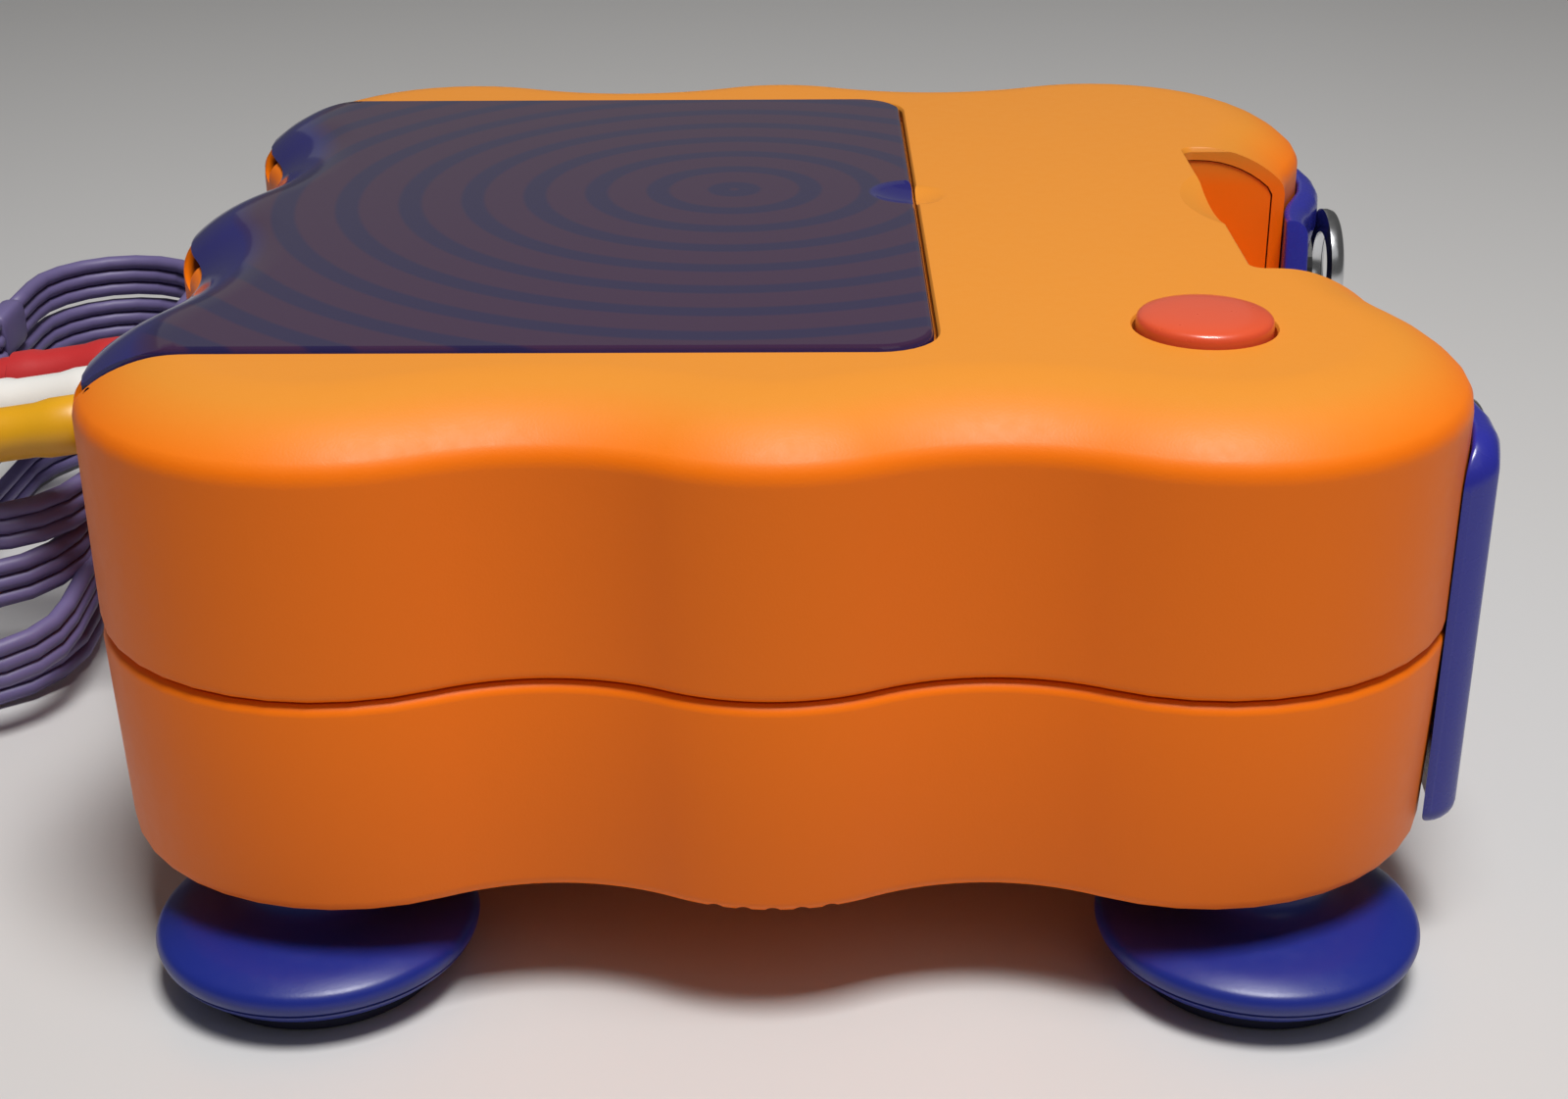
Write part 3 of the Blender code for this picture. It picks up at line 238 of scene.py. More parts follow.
def loft(work, rings, closed=False):
    """Joins rings of points into a skin with flat ends, or back to the first ring."""
    loops = [[work.verts.new(point) for point in ring] for ring in rings]
    count = len(loops[0])
    if closed:
        loops.append(loops[0])
    for low, high in zip(loops, loops[1:]):
        for i in range(count):
            j = (i + 1) % count
            work.faces.new((low[i], low[j], high[j], high[i]))
    if not closed:
        work.faces.new(loops[0][::-1])
        work.faces.new(loops[-1])


def smooth_route(points, spacing):
    """Points at an even spacing along a smooth curve through the route's own points."""
    route = [Vector(p) for p in points]
    ends = [2 * route[0] - route[1]] + route + [2 * route[-1] - route[-2]]
    dense = []
    for a, b, c, d in zip(ends, ends[1:], ends[2:], ends[3:]):
        for i in range(ROUTE_STEPS):
            t = i / ROUTE_STEPS
            dense.append(0.5 * (2 * b + (c - a) * t + (2 * a - 5 * b + 4 * c - d) * t**2
                                + (3 * b - 3 * c + d - a) * t**3))
    dense.append(route[-1])
    lengths = [(q - p).length for p, q in zip(dense, dense[1:])]
    count = max(2, round(sum(lengths) / spacing))
    step = sum(lengths) / count
    made, run, target = [dense[0]], 0.0, step
    for p, q, length in zip(dense, dense[1:], lengths):
        while run + length >= target and len(made) < count:
            made.append(p.lerp(q, (target - run) / length))
            target += step
        run += length
    return made + [dense[-1]]


def ease_in(share):
    """A share held between 0 and 1, eased at both ends."""
    held = min(1.0, max(0.0, share))
    return held * held * (3 - 2 * held)


def loop_route():
    """Long loops laid one on another, each climbing along its near run."""
    run = 2 * LOOP_HALF_RUN
    points = []
    for i in range(round(LOOP_TURNS * LOOP_STEPS) + 1):
        turn = i / LOOP_STEPS
        layer = int(turn)
        share = turn - layer
        ease = ease_in((share - CLIMB_START) / CLIMB_SHARE)
        loose = min(1.0, max(0.0, LOOSE_TURNS - turn)) * min(1.0, 2 * turn)
        cx = LOOP_CENTRE[0] + loose * LOOP_SLIP * (sin(SLIP_BEATS[0] * turn) - 1)
        cy = LOOP_CENTRE[1] + loose * LOOP_SLIP / 2 * (1 - cos(SLIP_BEATS[1] * turn))
        radius = LOOP_RADIUS_OUT + (LOOP_RADIUS_IN - LOOP_RADIUS_OUT) * min(1.0, layer + ease)
        half_turn = pi * radius
        along = share * (2 * run + 2 * half_turn)
        side = 1
        if along >= half_turn + run:
            side = -1
            along -= half_turn + run
        dx, dy = LOOP_HALF_RUN - (along - half_turn), radius
        if along < half_turn:
            angle = along / radius - pi / 2
            dx, dy = LOOP_HALF_RUN + radius * cos(angle), radius * sin(angle)
        points.append(Vector((cx + side * dx, cy + side * dy, LOOP_Z + LAYER_PITCH * (layer + ease))))
    return points


def strand_rings(points, lift, radius):
    """Rings of one strand, lifted from the lead's middle line along the lead's own height."""
    rings = []
    for i, p in enumerate(points):
        ahead = (points[min(i + 1, len(points) - 1)] - points[max(i - 1, 0)]).normalized()
        across = ahead.cross(Vector((0, 0, 1))).normalized()
        over = across.cross(ahead)
        rings.append([p + over * (lift + radius * s) + across * radius * c for c, s in around(STRAND_SIDES)])
    return rings


def fill_lead(work):
    for row in (-1, 0, 1):
        loft(work, strand_rings(lead_line, row * STRAND * STRAND_PRESS, STRAND / 2))


loops = loop_route()
first = loops[0]
drop_route = [(GLAND_X, GLAND_TIP + 2 * JOINT_GAP, GLAND_Z)]
drop_route += [(GLAND_X + dx, GLAND_TIP + dy, GLAND_Z + dz) for dx, dy, dz in DROP_STEPS]
drop_route.append((GLAND_X + DROP_TURN[0], first.y + DROP_TURN[1], GLAND_Z + DROP_TURN[2]))
drop_route += [(first.x + dx, first.y + dy, first.z + dz) for dx, dy, dz in LANDING_STEPS]
lead_line = smooth_route(drop_route, STRAND) + loops
lead_vinyl = moulded("lead_vinyl", (0.150, 0.120, 0.275), (0.115, 0.092, 0.225), 0.5, 1800.0, 0.00005)
lead = new_piece("television_lead", fill_lead, lead_vinyl)
lead.data.shade_smooth()
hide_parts("av_lead", "av_lead_loops")


# The lead splits in a moulded sleeve into three single strands, each with a phono plug: plated pin and
# collar, a round grip and a boot of rings. The plugs lie across the loops, tips towards the console.
PLUG_Z = 0.0537
PLUG_RADIUS = 0.0058
PLUG_X = {"yellow": -0.001, "white": 0.016, "red": 0.033}
PLUG_TIP = MIDDLE_Y + 0.1215
PLUG_PIN = 0.013
PLUG_BODY = 0.024
PLUG_TILT = 0.15
COLLAR_RADIUS = 0.0041
COLLAR_GAP = 0.0004
# (How far the grip is drawn in, distance from its front) and (radius, distance from the pin's tip).
GRIP_SHAPE = ((0.0006, -0.0002), (0, 0.0008), (0, 0.006), (0.0005, 0.009), (0.0005, 0.018), (0, 0.020))
PIN_SHAPE = ((0.0006, 0), (0.0016, 0.0012), (0.0016, 0.0045), (0.0034, 0.0045), (COLLAR_RADIUS, 0.0045))
BOOT_LENGTH = 0.026
BOOT_RINGS = 6
BOOT_LIP = 0.0004
BOOT_FRONT = PLUG_RADIUS * 0.86
BOOT_TAIL = STRAND * 0.85
# (Share of a ring's radius, share of the rings' pitch).
BOOT_SHAPE = ((1.0, 0.6), (0.78, 0.66), (0.78, 0.97))
TAIL_REACH = 0.004
TAIL_STEP = 0.009
TAIL_OUT = 0.005
TAIL_SWEEP = 0.022
TAIL_SHARES = (0.7, 0.6)
TAIL_TURNS = ((0.014, -0.0015), (0.004, -0.004))
TAIL_RUN_IN = 0.006
SLEEVE_SHAPE = ((-1, 0.86), (-0.9, 1.0), (0.7, 1.0), (0.9, 0.95), (1, 0.86))
SLEEVE_SIDES = 32
SLEEVE_SQUARE = 0.5
METAL_SHADE = 0.85
PLUG_COLOURS = {
    "yellow": ((0.74, 0.375, 0.006), (0.68, 0.320, 0.005)),
    "white": ((0.8, 0.79, 0.76), (0.72, 0.71, 0.67)),
    "red": ((0.55, 0.028, 0.03), (0.45, 0.02, 0.022)),
}


def metal(name, colour, roughness):
    """Plated metal with a faint cloudy gloss."""
    return grained(name, colour, [METAL_SHADE * c for c in colour], drift=0.8, roughness=roughness,
                   grain_scale=1500.0, grain_depth=0.00002, looks={"Metallic": 1.0})


def turned(work, profile, centre, axis="Z", steps=48, closed=False):
    """Turns (radius, distance along the axis) points into a solid, or a closed profile into a ring."""
    rings = []
    for radius, along in profile:
        ring = []
        for c, s in around(steps):
            u, v = radius * c, radius * s
            local = {"Z": (u, v, along), "Y": (u, along, v), "X": (along, u, v)}[axis]
            ring.append(Vector(centre) + Vector(local))
        rings.append(ring)
    loft(work, rings, closed)


def turned_piece(name, profile, centre, finish, axis="Z", steps=48, body="console", closed=False):
    return new_piece(name, lambda work: turned(work, profile, centre, axis, steps, closed), finish, body)


def apply_modifiers(piece):
    before = piece.data
    bpy.context.view_layer.update()
    piece.data = bpy.data.meshes.new_from_object(piece.evaluated_get(bpy.context.evaluated_depsgraph_get()))
    piece.modifiers.clear()
    bpy.data.meshes.remove(before)
    piece.data.name = piece.name


def settle(piece):
    """Lets wide flat faces keep their own direction in smooth shading."""
    weigh = piece.modifiers.new("weigh", "WEIGHTED_NORMAL")
    weigh.weight = 100
    weigh.keep_sharp = True
    apply_modifiers(piece)


def hand_over(piece, degrees, slot, *nodes, body=None, flat=False):
    """Shades a piece, sharp from an angle up, lets it ride on its body and hides the solids it stands for.
    The slot is not used.
    """
    piece.data.shade_smooth()
    piece.data.set_sharp_from_angle(angle=radians(degrees))
    if flat:
        settle(piece)
    if body:
        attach(piece, body)
    if nodes:
        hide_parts(*nodes)


def fill_split(work):
    rings = []
    for share, swell in SLEEVE_SHAPE:
        ring = []
        for c, s in around(SLEEVE_SIDES):
            y = split_half.y * swell * copysign(abs(c) ** SLEEVE_SQUARE, c)
            z = split_half.z * swell * copysign(abs(s) ** SLEEVE_SQUARE, s)
            ring.append(split_middle + Vector((share * split_half.x, y, z)))
        rings.append(ring)
    loft(work, rings)


bright_plate = metal("bright_plate", (0.72, 0.72, 0.74), 0.14)
split_low, split_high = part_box("lead_split")
split_middle = (split_low + split_high) / 2
split_half = (split_high - split_low) / 2
split = new_piece("split_sleeve", fill_split, lead_vinyl)
hand_over(split, 50, "lead_purple", "lead_split")

body_start = PLUG_TIP + PLUG_PIN
boot_start = body_start + PLUG_BODY
boot_end = PLUG_TIP + PLUG_PIN + PLUG_BODY + BOOT_LENGTH
ring_pitch = BOOT_LENGTH / BOOT_RINGS
grip_profile = [(COLLAR_RADIUS, body_start + GRIP_SHAPE[0][1])]
grip_profile += [(PLUG_RADIUS - draw, body_start + along) for draw, along in GRIP_SHAPE]
grip_profile.append((PLUG_RADIUS, boot_start))
for k in range(BOOT_RINGS):
    outer = BOOT_FRONT + k / BOOT_RINGS * (BOOT_TAIL - BOOT_FRONT)
    at = boot_start + k * ring_pitch
    grip_profile.append((outer, at + BOOT_LIP))
    grip_profile += [(outer * swell, at + share * ring_pitch) for swell, share in BOOT_SHAPE]
pin_profile = [(radius, PLUG_TIP + along) for radius, along in PIN_SHAPE]
pin_profile.append((COLLAR_RADIUS, body_start - COLLAR_GAP))


def tilted(work, profile, x):
    """Turns a plug piece about its line along Y and leans its tip up from the end of the boot."""
    turned(work, profile, (x, 0, PLUG_Z), "Y")
    for vert in work.verts:
        vert.co.z += PLUG_TILT * max(0.0, boot_end - vert.co.y)


def tail_route(x, row):
    """A single strand's way from the sleeve to the end of its plug's boot."""
    level = split_middle.z + (row - 1) * (STRAND + JOINT_GAP)
    start = Vector((split_low.x, split_middle.y, level))
    far = boot_end + TAIL_REACH + TAIL_STEP * (len(PLUG_X) - row)
    swing, lift = TAIL_SHARES
    route = [
        start - Vector((2 * JOINT_GAP, 0, 0)),
        start - Vector((TAIL_OUT, 0, 0)),
        (start.x - TAIL_SWEEP, start.y + swing * (far - start.y), level + lift * (PLUG_Z - level)),
    ]
    route += [(x + across, far + along, PLUG_Z) for across, along in TAIL_TURNS]
    route += [(x, boot_end + TAIL_RUN_IN, PLUG_Z), (x, boot_end + 2 * JOINT_GAP, PLUG_Z)]
    return smooth_route(route, STRAND / 2)


for row, (colour, x) in enumerate(PLUG_X.items()):
    finish = moulded(f"plug_{colour}_vinyl", *PLUG_COLOURS[colour], 0.42, 1500.0, 0.00004)
    plug = new_piece(f"phono_grip_{colour}", lambda work: tilted(work, grip_profile, x), finish)
    hand_over(plug, 50, f"plug_{colour}", f"plug_{colour}")
    tip = new_piece(f"phono_pin_{colour}", lambda work: tilted(work, pin_profile, x), bright_plate)
    hand_over(tip, 40, "steel")
    tail_line = tail_route(x, row)
    tail = new_piece(f"single_lead_{colour}",
                     lambda work: loft(work, strand_rings(tail_line, 0.0, STRAND / 2)), lead_vinyl)
    hand_over(tail, 60, "lead_purple", f"lead_{colour}")


# Upper shell: one moulded orange cover, satin with a fine grain. Upright wavy walls meet the rounded edge of
# the top at a soft crease. It is open for the lid, the cartridge, the restart button and the two sockets.
WIDTH = shell_high.x - shell_low.x
DEPTH = shell_high.y - shell_low.y
PARTING = shell_low.z
TOP = shell_high.z
CORNER_RADIUS = 0.0415
SIDE_LOBE_RADIUS = 0.0375
VALLEY_RADIUS = 0.0395
ARC_STEPS = 16
CREASE = 0.0959
CREASE_SOFT = 0.0022
CREASE_SHARE = 0.9
CREASE_STEPS = 6
EDGE_INSET = 0.018
EDGE_STEPS = 12
INNER_STEPS = 8
WALL = 0.0025
GROOVE = 0.0013
# (Inset, height) of the parting groove, as shares of its depth.
GROOVE_SHAPE = ((1.0, 0.0), (0.4, 0.4), (0.1, 0.8), (0.0, 1.4))
LID_HALF_WIDTH = 0.0805
LID_FRONT = -0.0255
LID_CORNER = 0.009
LID_LIP = 0.0985
LID_CLEARANCE = 0.0006
LID_PROUD = 0.0006
HINGE_Y = 0.1044
HINGE_Z = 0.0973
HINGE_AT = (0, HINGE_Y + MIDDLE_Y, HINGE_Z)
HINGE_PIN_RADIUS = 0.0012
HINGE_SIDES = 24
HINGE_RELIEF = 0.0044
HINGE_END_RELIEF = 0.0041
RELIEF_SPANS = ((0.053, 0.0765, HINGE_RELIEF), (0.0764, 0.0811, HINGE_END_RELIEF))
RELIEF_MIDDLE = 0.018
PIN_REACH = (0.0765, 0.0825)
SCOOP_RADIUS = 0.0178
SCOOP_DEPTH = 0.0019
SCOOP_X = 0.006
THUMB_RADIUS = 0.0786
THUMB_REACH = 0.0304
THUMB_AT = (0.003, -0.1055)
WELL_HALF_WIDTH = 0.0395
WELL_REAR = -0.081
NOTCH_BOTTOM = 0.074
NOTCH_CORNER = 0.0022
RESTART_AT = (-0.0695, MIDDLE_Y - 0.068)
RESTART_RADIUS = 0.0108
BORE_PLAY = 0.0005
# (Height from the top, how far the opening is flared there) for each rounded edge.
LID_FLARE = ((-0.0006, 0.0), (-0.0002, 0.0002), (0.0006, 0.001))
NOTCH_FLARE = ((-0.0009, 0.0), (-0.0003, 0.0003), (0.0009, 0.0015))
RESTART_FLARE = ((-0.0005, 0.0), (-0.0001, 0.0002), (0.0009, 0.0012))
SOCKET_X = 0.056
SOCKET_Z = 0.074
SOCKET_RADIUS = 0.0085
FRONT_CUT = (MIDDLE_Y - DEPTH, MIDDLE_Y - DEPTH / 3)
# Painted light on the top: a paler colour that stands in for the light from above.
TOP_PAINTED_LIGHT = (0.71, 0.255, 0.026, 1)
TOP_PAINTED_LIGHT_DROP = 0.001


def arc(centre, radius, begin, end):
    """Even points on an arc, without its last one."""
    angles = [begin + (end - begin) * i / ARC_STEPS for i in range(ARC_STEPS)]
    return [centre + radius * Vector((cos(angle), sin(angle))) for angle in angles]


def half_side(half, offset, centre_across, centre_along):
    """Points of one half side, from its middle lobe over a valley to the corner lobe."""
    lobe = Vector((half - SIDE_LOBE_RADIUS, 0.0))
    corner = Vector((centre_across, centre_along))
    reach = (corner - lobe).length
    near = SIDE_LOBE_RADIUS + VALLEY_RADIUS
    far_reach = CORNER_RADIUS + VALLEY_RADIUS
    along = (near**2 - far_reach**2 + reach**2) / (2 * reach)
    unit = (corner - lobe) / reach
    normal = Vector((abs(unit.y), -unit.x if unit.y > 0 else unit.x))
    valley = lobe + along * unit + sqrt(near**2 - along**2) * normal
    points = arc(lobe, SIDE_LOBE_RADIUS - offset, 0.0, atan2(valley.y - lobe.y, valley.x - lobe.x))
    begin = atan2(lobe.y - valley.y, lobe.x - valley.x) % (2 * pi)
    end = atan2(corner.y - valley.y, corner.x - valley.x) % (2 * pi)
    points += arc(valley, VALLEY_RADIUS + offset, begin, end)
    return points, atan2(valley.y - corner.y, valley.x - corner.x)


def outline(offset):
    """The shell's plan outline about its own middle, drawn in by an offset."""
    across = WIDTH / 2 - CORNER_RADIUS
    along = DEPTH / 2 - CORNER_RADIUS
    side, from_side = half_side(WIDTH / 2, offset, across, along)
    front, from_front = half_side(DEPTH / 2, offset, along, across)
    last = pi / 2 - from_front
    corner = Vector((across, along))
    quarter = side + arc(corner, CORNER_RADIUS - offset, from_side, last)
    quarter.append(corner + (CORNER_RADIUS - offset) * Vector((cos(last), sin(last))))
    quarter += [Vector((point.y, point.x)) for point in front[:0:-1]]
    middle = Vector((0.0, DEPTH / 2 - offset))
    half = quarter + [middle] + [Vector((-p.x, p.y)) for p in quarter[::-1]]
    return half[:-1] + [Vector((-p.x, -p.y)) for p in half[:-1]]


def wavy_skin(work, levels):
    """A closed skin over the wavy outline at each (inset, height) level."""
    loft(work, [[(p.x, p.y + MIDDLE_Y, z) for p in outline(inset)] for inset, z in levels])


def over_edge(share, offset):
    """(Inset, height) on the arc over the edge: share 1 is at the crease and share 0 at the flat top."""
    height = TOP - CREASE
    radius = (EDGE_INSET**2 + height**2) / (2 * height)
    angle = asin(EDGE_INSET / radius) * share
    inset = EDGE_INSET - (radius - offset) * sin(angle)
    return max(inset, offset), TOP - radius + (radius - offset) * cos(angle)


def inner_edge(offset):
    """The underside of the edge, from the flat top down to the crease."""
    return [over_edge(i / INNER_STEPS, offset) for i in range(INNER_STEPS + 1)]


def crease_profile(offset):
    """The wall's top, its soft crease and the arc over the edge, from low to high."""
    begin = Vector((offset, CREASE - CREASE_SOFT))
    bend = Vector((offset, CREASE))
    end = Vector(over_edge(CREASE_SHARE, offset))
    profile = []
    for i in range(CREASE_STEPS):
        t = i / CREASE_STEPS
        profile.append(tuple(begin * (1 - t) ** 2 + 2 * bend * t * (1 - t) + end * t**2))
    profile += [over_edge(CREASE_SHARE * (1 - i / EDGE_STEPS), offset) for i in range(EDGE_STEPS + 1)]
    return profile


def rounded_ring(low, high, corner, z, steps=8):
    """A level rectangle with round corners, about the shell's middle."""
    ring = []
    for k, (x, y) in enumerate(((high[0] - corner, high[1] - corner), (low[0] + corner, high[1] - corner),
                                (low[0] + corner, low[1] + corner), (high[0] - corner, low[1] + corner))):
        for i in range(steps + 1):
            angle = pi / 2 * (k + i / steps)
            ring.append((x + corner * cos(angle), y + corner * sin(angle) + MIDDLE_Y, z))
    return ring


def block(work, low, high, corner, levels):
    """A solid with round corners that steps out by a flare at each (height, flare) level."""
    loft(work, [rounded_ring((low[0] - flare, low[1] - flare), (high[0] + flare, high[1] + flare),
                             corner + flare, z) for z, flare in levels])


def cut(piece, fill, operation="DIFFERENCE"):
    """Cuts a piece with a tool shape, or joins it on, and throws the tool away."""
    mesh = bpy.data.meshes.new("tool")
    work = bmesh.new()
    fill(work)
    bmesh.ops.recalc_face_normals(work, faces=work.faces)
    work.to_mesh(mesh)
    work.free()
    tool = bpy.data.objects.new("tool", mesh)
    scene.collection.objects.link(tool)
    change = piece.modifiers.new("cut", "BOOLEAN")
    change.operation = operation
    change.solver = "EXACT"
    change.object = tool
    apply_modifiers(piece)
    bpy.data.objects.remove(tool)
    bpy.data.meshes.remove(mesh)


def drill(piece, radius, ends, centre, axis="Z", steps=48, operation="DIFFERENCE"):
    """Cuts a round hole between two ends along an axis, or joins a round post on."""
    cut(piece, lambda work: turned(work, [(radius, end) for end in ends], centre, axis, steps), operation)


def finger_scoop(work):
    bmesh.ops.create_uvsphere(work, u_segments=48, v_segments=32, radius=SCOOP_RADIUS)
    bmesh.ops.translate(work, verts=work.verts,
                        vec=(SCOOP_X, LID_FRONT + MIDDLE_Y, TOP + LID_PROUD + SCOOP_RADIUS - SCOOP_DEPTH))


def thumb_scoop(work):
    bmesh.ops.create_uvsphere(work, u_segments=96, v_segments=64, radius=THUMB_RADIUS)
    rise = sqrt(THUMB_RADIUS**2 - THUMB_REACH**2)
    bmesh.ops.translate(work, verts=work.verts, vec=(THUMB_AT[0], THUMB_AT[1] + MIDDLE_Y, TOP + rise))


def fill_upper(work):
    groove = [(inset * GROOVE, PARTING + rise * GROOVE) for inset, rise in GROOVE_SHAPE]
    wavy_skin(work, inner_edge(WALL) + [(WALL, PARTING)] + groove + crease_profile(0.0))


def fill_lid_opening(work):
    levels = [(LID_LIP - JOINT_GAP, LID_CLEARANCE)]
    levels += [(TOP + rise, LID_CLEARANCE + flare) for rise, flare in LID_FLARE]
    block(work, (-LID_HALF_WIDTH, LID_FRONT), (LID_HALF_WIDTH, DEPTH), LID_CORNER, levels)


def fill_notch(work):
    levels = [(NOTCH_BOTTOM, 0.0)] + [(TOP + rise, flare) for rise, flare in NOTCH_FLARE]
    block(work, (-WELL_HALF_WIDTH, -DEPTH), (WELL_HALF_WIDTH, WELL_REAR), NOTCH_CORNER, levels)


def restart_hole(work):
    radius = RESTART_RADIUS + BORE_PLAY
    flared = [(radius + flare, TOP + rise) for rise, flare in RESTART_FLARE]
    turned(work, [(radius, TOP - 2 * WALL)] + flared, (*RESTART_AT, 0))


# Painted light: the top is painted paler than the walls for the light falling on it from above, so the colour
# shifts with height above the crease.
shell_plastic = moulded("shell_plastic", (0.94, 0.185, 0.002), (0.90, 0.165, 0.001), 0.46, drift=0.5)
shell_tree = shell_plastic.node_tree
shell_shader = shell_tree.nodes["Principled BSDF"]
set_values(shell_shader, {"Specular IOR Level": 0.25})
shell_place = shell_tree.nodes.new("ShaderNodeTexCoord").outputs["Object"]
shell_rise = add_node(shell_tree, "ShaderNodeSeparateXYZ", {"Vector": shell_place}).node.outputs["Z"]
painted_top_light_mask = add_node(shell_tree, "ShaderNodeMapRange", {"Value": shell_rise},
                     {"From Min": CREASE, "From Max": TOP - TOP_PAINTED_LIGHT_DROP})
wall_colour = shell_shader.inputs["Base Color"].links[0].from_socket
shell_colour_with_painted_top = add_node(shell_tree, "ShaderNodeMix", {"Factor": painted_top_light_mask, "A": wall_colour}, {"B": TOP_PAINTED_LIGHT},
                        data_type="RGBA")
shell_tree.links.new(shell_colour_with_painted_top, shell_shader.inputs["Base Color"])
upper = new_piece("orange_upper_shell", fill_upper, shell_plastic, body=None)
for opening in (fill_lid_opening, fill_notch, finger_scoop, thumb_scoop, restart_hole):
    cut(upper, opening)
for sign in (-1, 1):
    drill(upper, SOCKET_RADIUS + JOINT_GAP, FRONT_CUT, (sign * SOCKET_X, 0, SOCKET_Z), "Y")
    drill(upper, HINGE_PIN_RADIUS + JOINT_GAP, sorted(sign * reach for reach in PIN_REACH), HINGE_AT, "X",
          HINGE_SIDES)
reliefs = [(-RELIEF_MIDDLE, RELIEF_MIDDLE, HINGE_RELIEF)]
for inner_x, outer_x, relief in RELIEF_SPANS:
    reliefs += [(-outer_x, -inner_x, relief), (inner_x, outer_x, relief)]
for low_x, high_x, relief in reliefs:
    drill(upper, relief, (low_x, high_x), HINGE_AT, "X", steps=32)
hand_over(upper, 24, "shell_orange", "upper_shell", body="console", flat=True)


# Cartridge well: an orange liner moulded to stand close under the shell's top and front, so that the notch
# shows plain walls all round. Its floor is slotted over the connector.
WELL_FLOOR = 0.062
WELL_WALL = 0.002
SLOT_INSET = 0.0005
connector_low, connector_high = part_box("cartridge_connector")


def fill_well(work):
    room = WALL + JOINT_GAP
    wavy_skin(work, inner_edge(room) + [(room, WELL_FLOOR - WELL_WALL)])


def well_room(work, grow, bottom):
    """The well's inside, grown on all sides and open to the front and the top."""
    reach = WELL_HALF_WIDTH + JOINT_GAP + grow
    rear = WELL_REAR + JOINT_GAP + grow
    block(work, (-reach, -DEPTH), (reach, rear), NOTCH_CORNER + grow, ((bottom, 0), (2 * TOP, 0)))


def well_slot(work):
    low = (connector_low.x, connector_low.y + SLOT_INSET - MIDDLE_Y)
    high = (connector_high.x, connector_high.y - SLOT_INSET - MIDDLE_Y)
    block(work, low, high, SLOT_INSET, ((0, 0), (TOP, 0)))


well = new_piece("orange_cartridge_well", fill_well, shell_plastic, body=None)
cut(well, lambda work: well_room(work, WELL_WALL, 0), "INTERSECT")
cut(well, lambda work: well_room(work, 0, WELL_FLOOR))
cut(well, well_slot)
hand_over(well, 32, "shell_orange", "cartridge_well", body="console")


# Lower shell: the matching moulded tub, drawn in a little towards a rounded bottom edge, with small grip
# notches under its side lobes. Screwed to the upper shell from below; the parting groove shows all round.
lower_low, lower_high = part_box("lower_shell")
BOTTOM_DRAFT = 0.0010
BOTTOM_ROUND = 0.0024
BOTTOM_STEPS = 6
NOTCH_COUNT = 5
NOTCH_PITCH = 0.0045
NOTCH_RADIUS = 0.0013
NOTCH_REACH = 0.0085
JACK_AT = (-0.037, 0.040)
JACK_RADIUS = 0.0052
GLAND_NECK = 0.0056
FRONT_BUTTON_X = 0.016
FRONT_BUTTON_Z = 0.047
FRONT_BUTTON_RADIUS = 0.007
DOOR_LOW = (-0.042, 0.014)
DOOR_HIGH = (0.042, 0.078)
DOOR_CORNER = 0.0005
DOOR_DEPTH = 0.026
POST_X = 0.056
POST_ENDS = (-0.076, -0.004)
POST_RADIUS = 0.0036
POST_TOP = 0.0337
POST_BORE_RADIUS = 0.0016
POST_BORE = (0.026, 0.0365)


def fill_lower(work):
    top = lower_high.z
    floor = lower_low.z + WALL
    inner = WALL + BOTTOM_DRAFT
    levels = [(inner + BOTTOM_ROUND, floor), (inner, floor + BOTTOM_ROUND), (WALL, top)]
    levels += [(inset * GROOVE, top - rise * GROOVE) for inset, rise in GROOVE_SHAPE]
    for i in range(BOTTOM_STEPS + 1):
        angle = pi / 2 * i / BOTTOM_STEPS
        levels.append((BOTTOM_DRAFT + BOTTOM_ROUND * (1 - cos(angle)),
                       lower_low.z + BOTTOM_ROUND * (1 - sin(angle))))
    wavy_skin(work, levels)


def door_opening(work):
    block(work, DOOR_LOW, DOOR_HIGH, DOOR_CORNER, ((0, 0), (DOOR_DEPTH, 0)))


lower = new_piece("orange_lower_shell", fill_lower, shell_plastic, body=None)
cut(lower, door_opening)
for sign in (-1, 1):
    drill(lower, FRONT_BUTTON_RADIUS + BORE_PLAY, FRONT_CUT, (sign * FRONT_BUTTON_X, 0, FRONT_BUTTON_Z), "Y")
    for y in POST_ENDS:
        post_at = (sign * POST_X, y + MIDDLE_Y, 0)
        drill(lower, POST_RADIUS, (lower_low.z + WALL / 2, POST_TOP), post_at, operation="UNION")
        drill(lower, POST_BORE_RADIUS, POST_BORE, post_at, steps=16)
for x, z, radius in ((*JACK_AT, JACK_RADIUS), (GLAND_X, GLAND_Z, GLAND_NECK)):
    drill(lower, radius + JOINT_GAP, (MIDDLE_Y + DEPTH / 3, MIDDLE_Y + DEPTH), (x, 0, z), "Y")
for sign in (-1, 1):
    ends = sorted((sign * (WIDTH / 2 - NOTCH_REACH), sign * WIDTH / 2))
    for k in range(NOTCH_COUNT):
        y = MIDDLE_Y + NOTCH_PITCH * (k - (NOTCH_COUNT - 1) / 2)
        drill(lower, NOTCH_RADIUS, ends, (0, y, lower_low.z), "X", steps=20)
hand_over(lower, 32, "shell_orange", "lower_shell", body="console")


# Storage lid: clear blue-violet plastic, polished, with round ripples moulded into its underside. It follows
# the shell's top and rear edge and swings on two short steel pins held in lugs at its rear corners.
LID_THICKNESS = 0.0024
